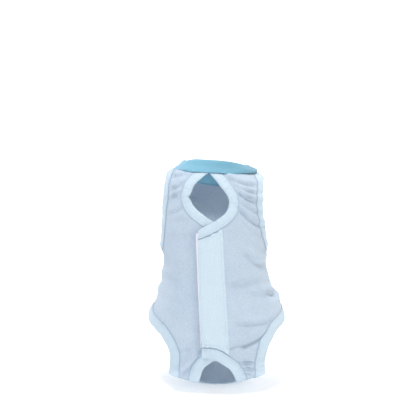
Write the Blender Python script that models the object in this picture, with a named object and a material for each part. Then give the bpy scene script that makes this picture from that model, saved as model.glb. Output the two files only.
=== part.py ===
"""Pet recovery suit, kept in its worn shape: a close-fitting jersey bodysuit with a doubled neckband,
a keyhole and a hook-and-loop closing down the back, and bound holes for the forelegs, hind legs and tail.

Metres, +Z runs up the body from crotch to neck, -Y is the side of the back, +X is the wearer's right.
The origin is the middle of the chest, where the body that wears the suit carries it.
"""

import math
from collections import namedtuple

import bmesh
import bpy
import numpy as np

# Body sizes. Half widths are measured from the middle to the side.
BODY_LENGTH = 0.2615
NECK_HALF_WIDTH = 0.0485
CHEST_HALF_WIDTH = 0.067
WAIST_HALF_WIDTH = 0.0625
HIP_HALF_WIDTH = 0.087
BODY_DEPTH = 0.134
CHEST_HEIGHT = 0.202

# Cloth and trim sizes.
CLOTH = 0.0012
BINDING_WIDTH = 0.0108
LOW_BINDING_WIDTH = 0.0130
BINDING_THICKNESS = 0.0026
NECKBAND_HEIGHT = 0.0150
NECKBAND_THICKNESS = 0.0034
# The band leans in by this share of its height at the back, and by more at the sides, where it is lower.
NECKBAND_LEAN = 0.28
NECKBAND_SIDE_LEAN = 1.4
NECKBAND_SIDE_LOSS = 0.22
CLOSING_TAPE = 0.0020
STRIP_CLOTH = 0.0011
SEAM_GAP = 0.0003
LAYER_GAP = 0.0005

# The back opening, seen from behind. Across is towards +X from the middle of the back.
OVERLAP_LEFT = -0.0200
OVERLAP_RIGHT = 0.0090
OVERLAP_SLANT = 0.0034
STRIP_WIDTH_TOP = 0.0276
STRIP_WIDTH_FOOT = 0.0326
STRIP_INSET = 0.0010
TAPE_MARGIN = 0.0040

# How squarely each section turns from back to side: 0 is an ellipse.
SQUARENESS = 0.045

# Sections of the torso, from the crotch line (0) to the neckline. Height is a share of BODY_LENGTH, width of
# the half width that the row follows, and back, side and front are shares of BODY_DEPTH from the torso's axis.
# Drop lowers the front and rise lifts the sides, as shares of BODY_LENGTH; sway is a share of HIP_HALF_WIDTH.
Section = namedtuple("Section", "height follows width back side front drop rise sway")
SECTIONS = [
    Section(0.000, HIP_HALF_WIDTH, 0.660, -0.04, -0.04, -0.040, 0.000, 0.075, 0.020),
    Section(0.015, HIP_HALF_WIDTH, 0.760, -0.26, -0.03, 0.180, 0.000, 0.056, 0.020),
    Section(0.075, HIP_HALF_WIDTH, 0.885, -0.45, -0.01, 0.340, 0.000, 0.030, 0.022),
    Section(0.185, HIP_HALF_WIDTH, 0.955, -0.54, 0.00, 0.430, 0.000, 0.010, 0.024),
    Section(0.300, HIP_HALF_WIDTH, 0.972, -0.52, 0.02, 0.460, 0.000, 0.000, 0.020),
    Section(0.392, HIP_HALF_WIDTH, 0.872, -0.49, 0.04, 0.470, 0.000, 0.000, 0.026),
    Section(0.476, WAIST_HALF_WIDTH, 1.070, -0.45, 0.05, 0.490, 0.000, 0.000, 0.010),
    Section(0.576, WAIST_HALF_WIDTH, 1.000, -0.43, 0.07, 0.520, 0.000, 0.000, -0.004),
    Section(0.675, CHEST_HALF_WIDTH, 0.980, -0.41, 0.09, 0.580, 0.000, 0.000, -0.020),
    Section(0.782, CHEST_HALF_WIDTH, 1.000, -0.39, 0.10, 0.610, 0.000, 0.000, -0.028),
    Section(0.881, CHEST_HALF_WIDTH, 0.998, -0.34, 0.13, 0.600, 0.014, 0.000, -0.022),
    Section(0.950, CHEST_HALF_WIDTH, 0.955, -0.29, 0.14, 0.550, 0.036, 0.000, -0.018),
    Section(0.985, NECK_HALF_WIDTH, 1.132, -0.24, 0.15, 0.500, 0.062, 0.003, -0.012),
    Section(0.994, NECK_HALF_WIDTH, 1.000, -0.20, 0.15, 0.455, 0.080, 0.005, 0.004),
]
NECKLINE = len(SECTIONS) - 1
BACK_RISE = 0.0180
# How far the neckline and shoulders slope down to the right, as a share of the distance across.
NECK_ROLL = 0.050

# Edge lines of the cloth. Across is a share of HIP_HALF_WIDTH from the middle of the back, angle is degrees
# round the body from the middle of the back (90 at the side), and station counts the sections above.
Across = namedtuple("Across", "across station")
Round = namedtuple("Round", "angle station")
KEYHOLE_RIGHT = [
    Across(0.055, 13.0), Across(0.092, 12.50), Across(0.182, 11.43), Across(0.262, 10.75),
    Across(0.302, 10.24), Across(0.298, 9.81), Across(0.266, 9.50), Across(0.205, 9.24),
    Across(0.135, 9.06), Across(0.056, 8.90), Across(-0.049, 8.72), Across(-0.142, 8.59),
]
KEYHOLE_LEFT = [
    Across(-0.229, 13.0), Across(-0.275, 12.55), Across(-0.378, 11.62), Across(-0.438, 10.84),
    Across(-0.464, 10.30), Across(-0.431, 9.81), Across(-0.349, 9.44), Across(-0.254, 9.20),
    Across(-0.172, 9.01), Across(-0.077, 8.84), Across(0.032, 8.64),
]
# Where the two keyhole bindings meet under the neckband, and where the right one ends beside the strip.
KEYHOLE_CORNER_LEFT = Across(-0.098, 12.78)
KEYHOLE_CORNER_RIGHT = Across(-0.088, 12.78)
KEYHOLE_END_CORNER = Across(-0.238, 8.82)
KEYHOLE_FOOT_STATION = 8.48
TAIL_TOP_STATION = 3.38
TAIL_RIGHT = [
    Across(-0.129, 3.40), Across(-0.048, 3.39), Across(0.025, 3.35), Across(0.100, 3.25),
    Across(0.222, 3.01), Across(0.311, 2.74), Across(0.374, 2.40), Across(0.424, 1.85),
    Across(0.425, 1.25), Across(0.362, 0.80), Across(0.220, 0.52), Across(0.080, 0.42),
]
TAIL_LEFT = [
    Across(0.033, 3.34), Across(-0.104, 3.21), Across(-0.193, 3.03), Across(-0.269, 2.81),
    Across(-0.324, 2.50), Across(-0.360, 2.00), Across(-0.370, 1.30), Across(-0.320, 0.80),
    Across(-0.205, 0.52), Across(-0.080, 0.42),
]
TAIL_FOOT_STATION = 0.40
ARMHOLE_TOP_STATION = 12.55
ARMHOLE_FOOT_STATION = 7.50
# Twist is the degrees that a point lies nearer the middle on the right, and further from it on the left.
Twisted = namedtuple("Twisted", "angle station twist")
ARMHOLE_BACK = [
    Twisted(66.0, 12.35, 2.4), Twisted(55.0, 11.50, 1.6), Twisted(47.6, 10.54, 2.1), Twisted(47.4, 9.86, 3.0),
    Twisted(49.2, 9.36, 2.8), Twisted(52.0, 8.87, 1.6), Twisted(57.4, 8.33, 0.7), Twisted(70.0, 7.72, -1.0),
]
ARMHOLE_FRONT = [
    Round(106, 7.68), Round(119, 8.35), Round(127, 9.30), Round(129, 10.40), Round(124, 11.50),
    Round(110, 12.25),
]
LEG_TOP_STATION = 4.56
CROTCH_ANGLE = 40
LEG_BACK = [
    Twisted(78.0, 4.55, 0.0), Twisted(65.3, 4.50, 3.0), Twisted(53.7, 4.40, 2.0), Twisted(46.4, 4.25, 0.5),
    Twisted(40.4, 4.07, -0.8), Twisted(33.9, 3.70, -0.8), Twisted(30.9, 3.43, -0.8), Twisted(29.3, 3.10, -0.8),
    Twisted(29.2, 2.67, -0.2), Twisted(31.4, 2.15, 0.0), Twisted(35.0, 1.55, 0.0), Twisted(38.0, 0.80, 0.0),
]
LEG_FRONT = [
    Round(104, 4.52), Round(121, 4.30), Round(136, 3.85), Round(145, 3.10), Round(148, 2.10),
    Round(144, 1.00),
]

# Creases of the back. Ends are across and height as shares of HIP_HALF_WIDTH and BODY_LENGTH, and width and
# depth are shares of BINDING_WIDTH. A crease is a valley with a soft ridge on its upper side.
Crease = namedtuple("Crease", "across_a height_a across_b height_b width depth")
CREASES = [
    Crease(0.14, 0.998, 0.52, 0.955, 0.55, 0.10),
    Crease(0.27, 0.936, 0.56, 0.876, 0.60, 0.15),
    Crease(0.30, 0.856, 0.60, 0.771, 0.70, 0.19),
    Crease(-0.56, 0.940, -0.48, 0.963, 0.50, 0.08),
    Crease(-0.60, 0.893, -0.52, 0.920, 0.50, 0.10),
    Crease(-0.62, 0.815, -0.42, 0.842, 0.55, 0.11),
    Crease(0.37, 0.652, 0.66, 0.582, 0.70, 0.13),
    Crease(0.22, 0.505, 0.60, 0.511, 0.80, 0.10),
    Crease(0.33, 0.334, 0.78, 0.335, 0.70, 0.15),
    Crease(0.27, 0.232, 0.62, 0.268, 0.70, 0.20),
    Crease(0.34, 0.168, 0.50, 0.166, 0.50, 0.10),
    Crease(-0.55, 0.204, -0.33, 0.218, 0.60, 0.08),
    Crease(-0.26, 0.186, -0.47, 0.095, 0.60, 0.20),
]

# Rows of each panel along its outer and inner edge lines, and columns across it.
SHOULDER_ROWS = 1
ARMHOLE_ROWS = 15
SIDE_ROWS = 9
UPPER_LEG_ROWS = 9
FRONT_LEG_ROWS = 15
KEYHOLE_ROWS = 15
TAIL_ROWS = 9
CENTRE_ROWS = 2
EDGE_ROWS = SHOULDER_ROWS + ARMHOLE_ROWS + SIDE_ROWS + UPPER_LEG_ROWS - KEYHOLE_ROWS
LOWER_LEG_ROWS = TAIL_ROWS + CENTRE_ROWS
BACK_COLUMNS = 10
BELLY_COLUMNS = 18
STRIP_ROWS = 18
STRIP_COLUMNS = 5
NECKBAND_SEGMENTS = 52

# Half of what a binding is thicker than the cloth that it holds, so that it stands out on both sides.
BINDING_STAND = (BINDING_THICKNESS - CLOTH) / 2
# How far the right half is raised to lie over the left half, the closing tape and the left bindings.
LIFT = max(CLOTH + CLOSING_TAPE + 2 * LAYER_GAP, BINDING_THICKNESS + LAYER_GAP)
# The right half comes down beside the overlap and above and below it.
LIFT_SIDE = (OVERLAP_RIGHT + BINDING_WIDTH * 0.75, OVERLAP_RIGHT + BINDING_WIDTH * 2.6)
LIFT_TOP = (0.805 * BODY_LENGTH, 0.915 * BODY_LENGTH)
LIFT_FOOT = (0.100 * BODY_LENGTH, 0.175 * BODY_LENGTH)
TINY = 1e-4
WALK_STEP = 0.0015

COLOURS = {
    "jersey": (0.50, 0.62, 0.72),
    "binding": (0.62, 0.76, 0.87),
    "neckband": (0.25, 0.56, 0.74),
    "strip": (0.64, 0.78, 0.87),
    "tape": (0.80, 0.84, 0.86),
}


def clear_scene():
    for item in list(bpy.data.objects):
        bpy.data.objects.remove(item)


def smooth(value):
    """0 to 1 with soft ends."""
    value = np.clip(value, 0.0, 1.0)
    return value * value * (3 - 2 * value)


def spline(points, before, after, steps):
    """A smooth line through points, with the neighbours that it has beyond each end."""
    line = np.array([before, *points, after], float)
    found = []
    for a, b, c, d in zip(line, line[1:], line[2:], line[3:]):
        for k in range(steps):
            t = k / steps
            found.append(
                0.5 * (2 * b + (c - a) * t + (2 * a - 5 * b + 4 * c - d) * t**2 + (3 * b - a - 3 * c + d) * t**3)
            )
    return np.array([*found, line[-2]])


def section_columns():
    """Each column of SECTIONS in metres, by name."""
    rows = SECTIONS
    return {
        "height": np.array([r.height for r in rows]) * BODY_LENGTH,
        "width": np.array([r.width * r.follows for r in rows]),
        "back": np.array([r.back for r in rows]) * BODY_DEPTH,
        "side": np.array([r.side for r in rows]) * BODY_DEPTH,
        "front": np.array([r.front for r in rows]) * BODY_DEPTH,
        "drop": np.array([r.drop for r in rows]) * BODY_LENGTH,
        "rise": np.array([r.rise for r in rows]) * BODY_LENGTH,
        "sway": np.array([r.sway for r in rows]) * HIP_HALF_WIDTH,
    }


COLUMNS = section_columns()
# Below the crotch line the back runs on into the front, so each column goes on in the one named here.
CONTINUES = {"back": "front", "front": "back"}


def along_sections(column, station):
    """A column's value at a station, smoothly between the sections and straight on past the neckline."""
    values = COLUMNS[column]
    below = COLUMNS[CONTINUES.get(column, column)][1]
    padded = np.concatenate([[below], values, [2 * values[-1] - values[-2]]])
    i = np.clip(np.floor(station).astype(int), 0, NECKLINE - 1)
    t = station - i
    a, b, c, d = padded[i], padded[i + 1], padded[i + 2], padded[i + 3]
    return 0.5 * (2 * b + (c - a) * t + (2 * a - 5 * b + 4 * c - d) * t**2 + (3 * b - a - 3 * c + d) * t**3)


def across_share(angle):
    """How far to the side a point of a section lies, as a share of its half width."""
    return (np.sin(angle) + SQUARENESS * np.sin(3 * angle)) / (1 - SQUARENESS)


def depth_share(angle):
    """How far to the back a point of a section lies, as a share of its depth there."""
    return (np.cos(angle) - SQUARENESS * np.cos(3 * angle)) / (1 - SQUARENESS)


def plain_body(angle, station):
    """The torso without creases. Stations below 0 are the front, seen on past the crotch line."""
    angle, station = np.broadcast_arrays(np.asarray(angle, float), np.asarray(station, float))
    angle = np.where(station < 0, np.sign(angle + TINY) * math.pi - angle, angle)
    station = np.abs(station)
    out = depth_share(angle)
    side = along_sections("side", station)
    towards = np.where(out > 0, along_sections("back", station), along_sections("front", station))
    x = across_share(angle) * along_sections("width", station) + along_sections("sway", station)
    y = side + np.abs(out) * (towards - side)
    z = along_sections("height", station)
    z = z + along_sections("rise", station) * across_share(angle) ** 2
    neck = smooth((station - NECKLINE + 2) / 2)
    z = z + np.where(out > 0, BACK_RISE * BODY_LENGTH * neck, -along_sections("drop", station)) * out**2
    z = z - x * NECK_ROLL * smooth((station - NECKLINE + 3) / 3)
    return np.stack([x, y, z], -1)


def normal_of(surface, angle, station):
    """Outward unit normals of a surface given by a function."""
    step_a, step_s = 1e-3, 2e-3
    along_angle = surface(angle + step_a, station) - surface(angle - step_a, station)
    along_station = surface(angle, station + step_s) - surface(angle, station - step_s)
    normal = np.cross(along_angle, along_station)
    return normal / np.linalg.norm(normal, axis=-1, keepdims=True)


def crease_depth(place, out):
    """How far the creases move the cloth out at each place of the back."""
    moved = np.zeros(place.shape[:-1])
    x, z = place[..., 0] / HIP_HALF_WIDTH, place[..., 2] / BODY_LENGTH
    for c in CREASES:
        run = np.array([(c.across_b - c.across_a) * HIP_HALF_WIDTH, (c.height_b - c.height_a) * BODY_LENGTH])
        length = np.linalg.norm(run)
        run = run / length
        dx, dz = (x - c.across_a) * HIP_HALF_WIDTH, (z - c.height_a) * BODY_LENGTH
        share = (dx * run[0] + dz * run[1]) / length
        away = (dz * run[0] - dx * run[1]) * math.copysign(1, run[0]) / (c.width * BINDING_WIDTH)
        ends = smooth(share / 0.3 + 0.5) * smooth((1 - share) / 0.3 + 0.5)
        profile = 0.7 * np.exp(-((away - 1.7) ** 2)) - np.exp(-(away**2))
        moved += c.depth * BINDING_WIDTH * ends * profile
    return moved * smooth(out * 3)


def body(angle, station):
    """The inner face of the cloth, with its creases."""
    place = plain_body(angle, station)
    out = np.where(station < 0, -1, depth_share(angle))
    moved = crease_depth(place, out)
    return place + normal_of(plain_body, angle, station) * moved[..., None]


def lifted_body(angle, station):
    """The inner face of the right half, raised where it laps over the left half."""
    place = plain_body(angle, station)
    x, z = place[..., 0], place[..., 2]
    side = smooth((LIFT_SIDE[1] - x) / (LIFT_SIDE[1] - LIFT_SIDE[0]))
    top = smooth((LIFT_TOP[1] - z) / (LIFT_TOP[1] - LIFT_TOP[0]))
    foot = smooth((z - LIFT_FOOT[0]) / (LIFT_FOOT[1] - LIFT_FOOT[0]))
    raised = LIFT * side * top * foot
    return body(angle, station) + normal_of(plain_body, angle, station) * raised[..., None]


def angle_at(across, station):
    """The angle round the body at a distance across from the middle."""
    table = np.linspace(-math.pi / 2, math.pi / 2, 721)
    station = np.asarray(station, float)
    share = (across - along_sections("sway", station)) / along_sections("width", station)
    return np.interp(share, across_share(table), table)


def from_across(rows):
    """Angle and station of points given across the back."""
    return [(float(angle_at(r.across * HIP_HALF_WIDTH, r.station)), r.station) for r in rows]


def from_round(rows, hand):
    """Angle and station of points given by angle, on the left (-1) or right (1)."""
    return [(hand * math.radians(r.angle), r.station) for r in rows]


def from_twisted(rows, hand):
    """Angle and station of points whose twist shifts them between the left (-1) and the right (1)."""
    return [(hand * math.radians(r.angle - hand * r.twist), r.station) for r in rows]


def spaced(line, surface, rows):
    """The line's points in angle and station, at even distances along the surface."""
    places = surface(line[:, 0], line[:, 1])
    run = np.concatenate([[0], np.cumsum(np.linalg.norm(np.diff(places, axis=0), axis=1))])
    wanted = np.linspace(0, run[-1], rows + 1)
    return np.stack([np.interp(wanted, run, line[:, k]) for k in (0, 1)], -1)


def past_crotch(point):
    """A point of the front, as its angle and station beyond the crotch line."""
    return (math.copysign(math.pi, point[0]) - point[0], -point[1])


def straight(start, end, surface, rows):
    """A line between two points of angle and station."""
    return spaced(np.linspace(start, end, 40), surface, rows)


def outer_edges(hand):
    """The four outer edge lines of a back panel, and those of the belly panel beside it, top to bottom."""
    side = hand * math.pi / 2
    neck, shoulder, underarm = (side, NECKLINE), (side, ARMHOLE_TOP_STATION), (side, ARMHOLE_FOOT_STATION)
    hip = (side, LEG_TOP_STATION)
    arm_back, leg_back = from_twisted(ARMHOLE_BACK, hand), from_twisted(LEG_BACK, hand)
    arm_front = from_round(ARMHOLE_FRONT, hand)
    leg_front = from_round(LEG_FRONT, hand)
    crotch_back = (hand * math.radians(CROTCH_ANGLE), 0.0)
    crotch_front = (hand * math.radians(180 - CROTCH_ANGLE), 0.0)
    shoulder_seam = straight(neck, shoulder, body, SHOULDER_ROWS)
    side_seam = straight(underarm, hip, body, SIDE_ROWS)
    leg_line = spline([hip, *leg_back, crotch_back], leg_front[0], past_crotch(leg_front[-1]), 12)
    split = int(np.argmax(leg_line[:, 1] < TAIL_TOP_STATION))
    back = {
        "shoulder": shoulder_seam,
        "armhole": spaced(
            spline([shoulder, *arm_back, underarm], arm_front[-1], arm_front[0], 12), body, ARMHOLE_ROWS
        ),
        "side": side_seam,
        "upper_leg": spaced(leg_line[:split], body, UPPER_LEG_ROWS),
        "lower_leg": spaced(leg_line[split - 1:], body, LOWER_LEG_ROWS),
    }
    front = {
        "shoulder": shoulder_seam,
        "armhole": spaced(
            spline([shoulder, *arm_front[::-1], underarm], arm_back[0], arm_back[-1], 12), body, ARMHOLE_ROWS
        ),
        "side": side_seam,
        "leg": spaced(
            spline([hip, *leg_front, crotch_front], leg_back[0], past_crotch(leg_back[-1]), 12),
            body, FRONT_LEG_ROWS,
        ),
    }
    return back, front


def inner_edges(hand):
    """The inner edge lines of a back panel: keyhole, overlap edge, tail hole and crotch centre."""
    keyhole = KEYHOLE_RIGHT if hand > 0 else KEYHOLE_LEFT
    tail = TAIL_RIGHT if hand > 0 else TAIL_LEFT
    edge = OVERLAP_LEFT if hand > 0 else OVERLAP_RIGHT
    slant = OVERLAP_SLANT if hand > 0 else 0.0
    key_foot = (float(angle_at(edge, KEYHOLE_FOOT_STATION)), KEYHOLE_FOOT_STATION)
    tail_top = (float(angle_at(edge + slant, TAIL_TOP_STATION)), TAIL_TOP_STATION)
    tail_foot = (float(angle_at(0.0, TAIL_FOOT_STATION)), TAIL_FOOT_STATION)
    crotch = (float(angle_at(0.0, 0.0)), 0.0)
    key_line = from_across(keyhole)
    tail_line = from_across(tail)
    before = tuple(2 * np.array(key_line[0]) - np.array(key_line[1]))
    after = tuple(2 * np.array(key_foot) - np.array(key_line[-1]))
    above = tuple(2 * np.array(tail_top) - np.array(tail_line[0]))
    below = from_across((TAIL_LEFT if hand > 0 else TAIL_RIGHT)[-1:])[0]
    edge_stations = np.linspace(KEYHOLE_FOOT_STATION, TAIL_TOP_STATION, 40)
    edge_across = np.linspace(edge, edge + slant, 40)
    edge_line = np.stack([angle_at(edge_across, edge_stations), edge_stations], -1)
    return {
        "keyhole": spaced(spline([*key_line, key_foot], before, after, 12), body, KEYHOLE_ROWS),
        "edge": spaced(edge_line, body, EDGE_ROWS),
        "tail": spaced(spline([tail_top, *tail_line, tail_foot], above, below, 12), body, TAIL_ROWS),
        "centre": straight(tail_foot, crotch, body, CENTRE_ROWS),
    }


def joined(edges):
    """Edge lines end to end, with no point twice."""
    lines = list(edges.values())
    return np.concatenate([lines[0], *[line[1:] for line in lines[1:]]])


def moved_in(edge, other, distance, surface):
    """An edge line drawn in towards another by a distance, row by row."""
    gap = surface(other[:, 0], other[:, 1]) - surface(edge[:, 0], edge[:, 1])
    step = (other - edge) * 1e-3
    near = surface(edge[:, 0] + step[:, 0], edge[:, 1] + step[:, 1]) - surface(edge[:, 0], edge[:, 1])
    rate = np.linalg.norm(near, axis=1, keepdims=True)
    rate = np.maximum(rate, np.linalg.norm(gap, axis=1, keepdims=True) * 1e-4)
    return edge + step * distance / rate


def patch(left, right, columns):
    """Angle and station of a net between two edge lines, in rows that leave both edges level."""
    shares = np.linspace(0, 1, columns + 1)
    shares = np.stack([shares, smooth(smooth(shares))], -1)[None]
    return left[:, None, :] * (1 - shares) + right[:, None, :] * shares


def pull_off_seams(net):
    """Draws the crotch row back from the seam line by half a gap."""
    rows = net.copy()
    above, crotch = body(rows[-2, :, 0], rows[-2, :, 1]), body(rows[-1, :, 0], rows[-1, :, 1])
    span = np.linalg.norm(above - crotch, axis=-1)[:, None]
    rows[-1] += (rows[-2] - rows[-1]) * (SEAM_GAP / 2) / span
    return rows


def material(name, colour, roughness):
    made = bpy.data.materials.new(name)
    made.use_nodes = True
    shader = made.node_tree.nodes["Principled BSDF"]
    shader.inputs["Base Color"].default_value = (*colour, 1.0)
    shader.inputs["Roughness"].default_value = roughness
    shader.inputs["Metallic"].default_value = 0.0
    return made


def object_of(name, points, faces, finish):
    """A named object from points in body metres, moved so that the chest's middle is the origin."""
    centre = np.array([0.0, 0.0, CHEST_HEIGHT])
    mesh = bpy.data.meshes.new(name)
    mesh.from_pydata([tuple(p) for p in np.asarray(points) - centre], [], faces)
    net = bmesh.new()
    net.from_mesh(mesh)
    bmesh.ops.recalc_face_normals(net, faces=net.faces)
    net.to_mesh(mesh)
    net.free()
    mesh.shade_smooth()
    mesh.set_sharp_from_angle(angle=math.radians(40))
    mesh.materials.append(finish)
    made = bpy.data.objects.new(name, mesh)
    bpy.context.scene.collection.objects.link(made)
    return made


def sheet_object(name, net, surface, low, high, finish):
    """A closed sheet of cloth over a net, between two distances from the surface."""
    rows, columns = net.shape[:2]
    place = surface(net[..., 0], net[..., 1])
    out = normal_of(surface, net[..., 0], net[..., 1])
    under, over = place + out * low, place + out * high
    points = np.concatenate([under.reshape(-1, 3), over.reshape(-1, 3)])
    top = rows * columns

    def at(r, c):
        return r * columns + c

    faces = []
    for r in range(rows - 1):
        for c in range(columns - 1):
            quad = (at(r, c), at(r, c + 1), at(r + 1, c + 1), at(r + 1, c))
            faces.append(quad[::-1])
            faces.append(tuple(top + k for k in quad))
    rim = [at(0, c) for c in range(columns)] + [at(r, columns - 1) for r in range(1, rows)]
    rim += [at(rows - 1, c) for c in range(columns - 2, -1, -1)] + [at(r, 0) for r in range(rows - 2, 0, -1)]
    for a, b in zip(rim, rim[1:] + rim[:1]):
        faces.append((a, b, top + b, top + a))
    return object_of(name, points, faces, finish)


def swept_object(name, rings, closed, finish):
    """A body swept through rings of points, closed on itself or capped."""
    count, sides = len(rings), len(rings[0])
    points = np.concatenate(rings)
    faces = []
    for r in range(count if closed else count - 1):
        following = (r + 1) % count
        for k in range(sides):
            nxt = (k + 1) % sides
            faces.append((r * sides + k, r * sides + nxt, following * sides + nxt, following * sides + k))
    if not closed:
        faces.append(tuple(range(sides))[::-1])
        faces.append(tuple((count - 1) * sides + k for k in range(sides)))
    return object_of(name, points, faces, finish)


def walk(surface, angle, station, heading, distances):
    """Angle and station at each distance from an edge line, straight over the surface along a heading."""
    found, gone = [], 0.0
    for distance in distances:
        steps = max(1, math.ceil((distance - gone) / WALK_STEP))
        stride = (distance - gone) / steps
        for _ in range(steps):
            by_angle = (surface(angle + TINY, station) - surface(angle - TINY, station)) / (2 * TINY)
            by_station = (surface(angle, station + TINY) - surface(angle, station - TINY)) / (2 * TINY)
            out = np.cross(by_angle, by_station)
            out /= np.linalg.norm(out, axis=1, keepdims=True)
            heading = heading - out * (heading * out).sum(1, keepdims=True)
            heading /= np.linalg.norm(heading, axis=1, keepdims=True)
            aa, bb = (by_angle**2).sum(1), (by_station**2).sum(1)
            ab = (by_angle * by_station).sum(1)
            ha, hb = (heading * by_angle).sum(1), (heading * by_station).sum(1)
            angle = angle + stride * (ha * bb - hb * ab) / (aa * bb - ab**2)
            station = station + stride * (hb * aa - ha * ab) / (aa * bb - ab**2)
        gone = distance
        found.append((angle, station))
    return found


def binding_rings(line, surface, hand, width, closed=False, end=None, corners=(None, None)):
    """Rings of a folded binding along an edge line, on the side of the hole.

    The binding lies on the surface itself, so it follows the body under it. hand is the turn from the
    line's own direction to the hole: 1 is to the left of it, seen from outside. A corner is where the
    binding's free edge starts or stops, when it isn't square to the line.
    """
    angle, station = line[:, 0], line[:, 1]
    place = surface(angle, station)
    if closed:
        ahead = np.roll(place, -1, axis=0) - np.roll(place, 1, axis=0)
    else:
        beyond = end if end is not None else 2 * place[-1] - place[-2]
        reached = np.vstack([2 * place[0] - place[1], place, beyond])
        ahead = reached[2:] - reached[:-2]
    heading = np.cross(normal_of(surface, angle, station), ahead) * hand
    heading /= np.linalg.norm(heading, axis=1, keepdims=True)
    low, high = -BINDING_STAND, CLOTH + BINDING_STAND
    distances = [SEAM_GAP, width * 0.5, width - BINDING_THICKNESS * 0.45, width]
    reached = walk(surface, angle, station, heading, distances)
    for distance, (angles, stations) in zip(distances, reached):
        for row, corner in zip((0, -1), corners):
            if corner is not None:
                share = distance / width
                angles[row] = angle[row] + (corner[0] - angle[row]) * share
                stations[row] = station[row] + (corner[1] - station[row]) * share
    sides = []
    for k, height in ((0, low), (0, high), (1, high), (2, high), (3, CLOTH / 2), (2, low), (1, low)):
        sides.append(surface(*reached[k]) + normal_of(surface, *reached[k]) * height)
    return np.stack(sides, 1)


def make_panels(edges, finish):
    """The left and right back panels and the belly panel."""
    for name, hand, surface in (("left_back_panel", -1, body), ("right_back_panel", 1, lifted_body)):
        outer = joined(edges[hand]["back"])
        inner = joined(edges[hand]["inner"])
        seam_rows = slice(SHOULDER_ROWS + ARMHOLE_ROWS, SHOULDER_ROWS + ARMHOLE_ROWS + SIDE_ROWS + 1)
        drawn = moved_in(outer, inner, SEAM_GAP / 2, body)
        outer[: SHOULDER_ROWS + 1] = drawn[: SHOULDER_ROWS + 1]
        outer[seam_rows] = drawn[seam_rows]
        centre_rows = slice(KEYHOLE_ROWS + EDGE_ROWS + TAIL_ROWS, None)
        inner[centre_rows] = moved_in(inner, outer, SEAM_GAP / 2, body)[centre_rows]
        net = pull_off_seams(patch(inner, outer, BACK_COLUMNS))
        sheet_object(name, net, surface, 0.0, CLOTH, finish)
    left, right = joined(edges[-1]["front"]), joined(edges[1]["front"])
    left = np.stack([left[:, 0] + 2 * math.pi, left[:, 1]], -1)
    seam_rows = list(range(SHOULDER_ROWS + 1))
    seam_rows += range(SHOULDER_ROWS + ARMHOLE_ROWS, SHOULDER_ROWS + ARMHOLE_ROWS + SIDE_ROWS + 1)
    drawn_left = moved_in(left, right, SEAM_GAP / 2, body)
    drawn_right = moved_in(right, left, SEAM_GAP / 2, body)
    left[seam_rows], right[seam_rows] = drawn_left[seam_rows], drawn_right[seam_rows]
    net = pull_off_seams(patch(right, left, BELLY_COLUMNS))
    sheet_object("belly_panel", net, body, 0.0, CLOTH, finish)


def make_hole_bindings(edges, finish):
    """A closed binding round each foreleg and hind leg hole."""
    for word, hand in (("left", -1), ("right", 1)):
        for hole, width in (("armhole", BINDING_WIDTH), ("leg", LOW_BINDING_WIDTH)):
            back = joined({name: line for name, line in edges[hand]["back"].items() if name.endswith(hole)})
            front = edges[hand]["front"][hole]
            loop = np.concatenate([back, front[-2:0:-1]])
            rings = binding_rings(loop, body, hand, width, closed=True)
            swept_object(f"{word}_{hole}_binding", list(rings), True, finish)


def make_opening_bindings(edges, finish):
    """The two keyhole bindings, and the one strip round the tail hole."""
    corner_left, corner_right, corner_end = from_across(
        [KEYHOLE_CORNER_LEFT, KEYHOLE_CORNER_RIGHT, KEYHOLE_END_CORNER]
    )
    kinds = (("left", -1, body, (corner_left, None)), ("right", 1, lifted_body, (corner_right, corner_end)))
    for word, hand, surface, corners in kinds:
        line = edges[hand]["inner"]["keyhole"]
        rings = binding_rings(line, surface, -hand, BINDING_WIDTH, corners=corners)
        swept_object(f"{word}_keyhole_binding", list(rings), False, finish)
    left, right = edges[-1]["inner"]["tail"], edges[1]["inner"]["tail"]
    left_rings = binding_rings(left, body, 1, LOW_BINDING_WIDTH, end=body(*right[-2]))
    right_rings = binding_rings(right, lifted_body, -1, LOW_BINDING_WIDTH, end=body(*left[-2]))
    rings = [*left_rings, *right_rings[-2::-1]]
    swept_object("tail_binding", rings, False, finish)


def seam_station(line, across):
    """The station of an edge line at each distance across the back."""
    place = plain_body(line[:, 0], line[:, 1])
    order = np.argsort(place[:, 0])
    return np.interp(across, place[order, 0], line[order, 1])


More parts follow.
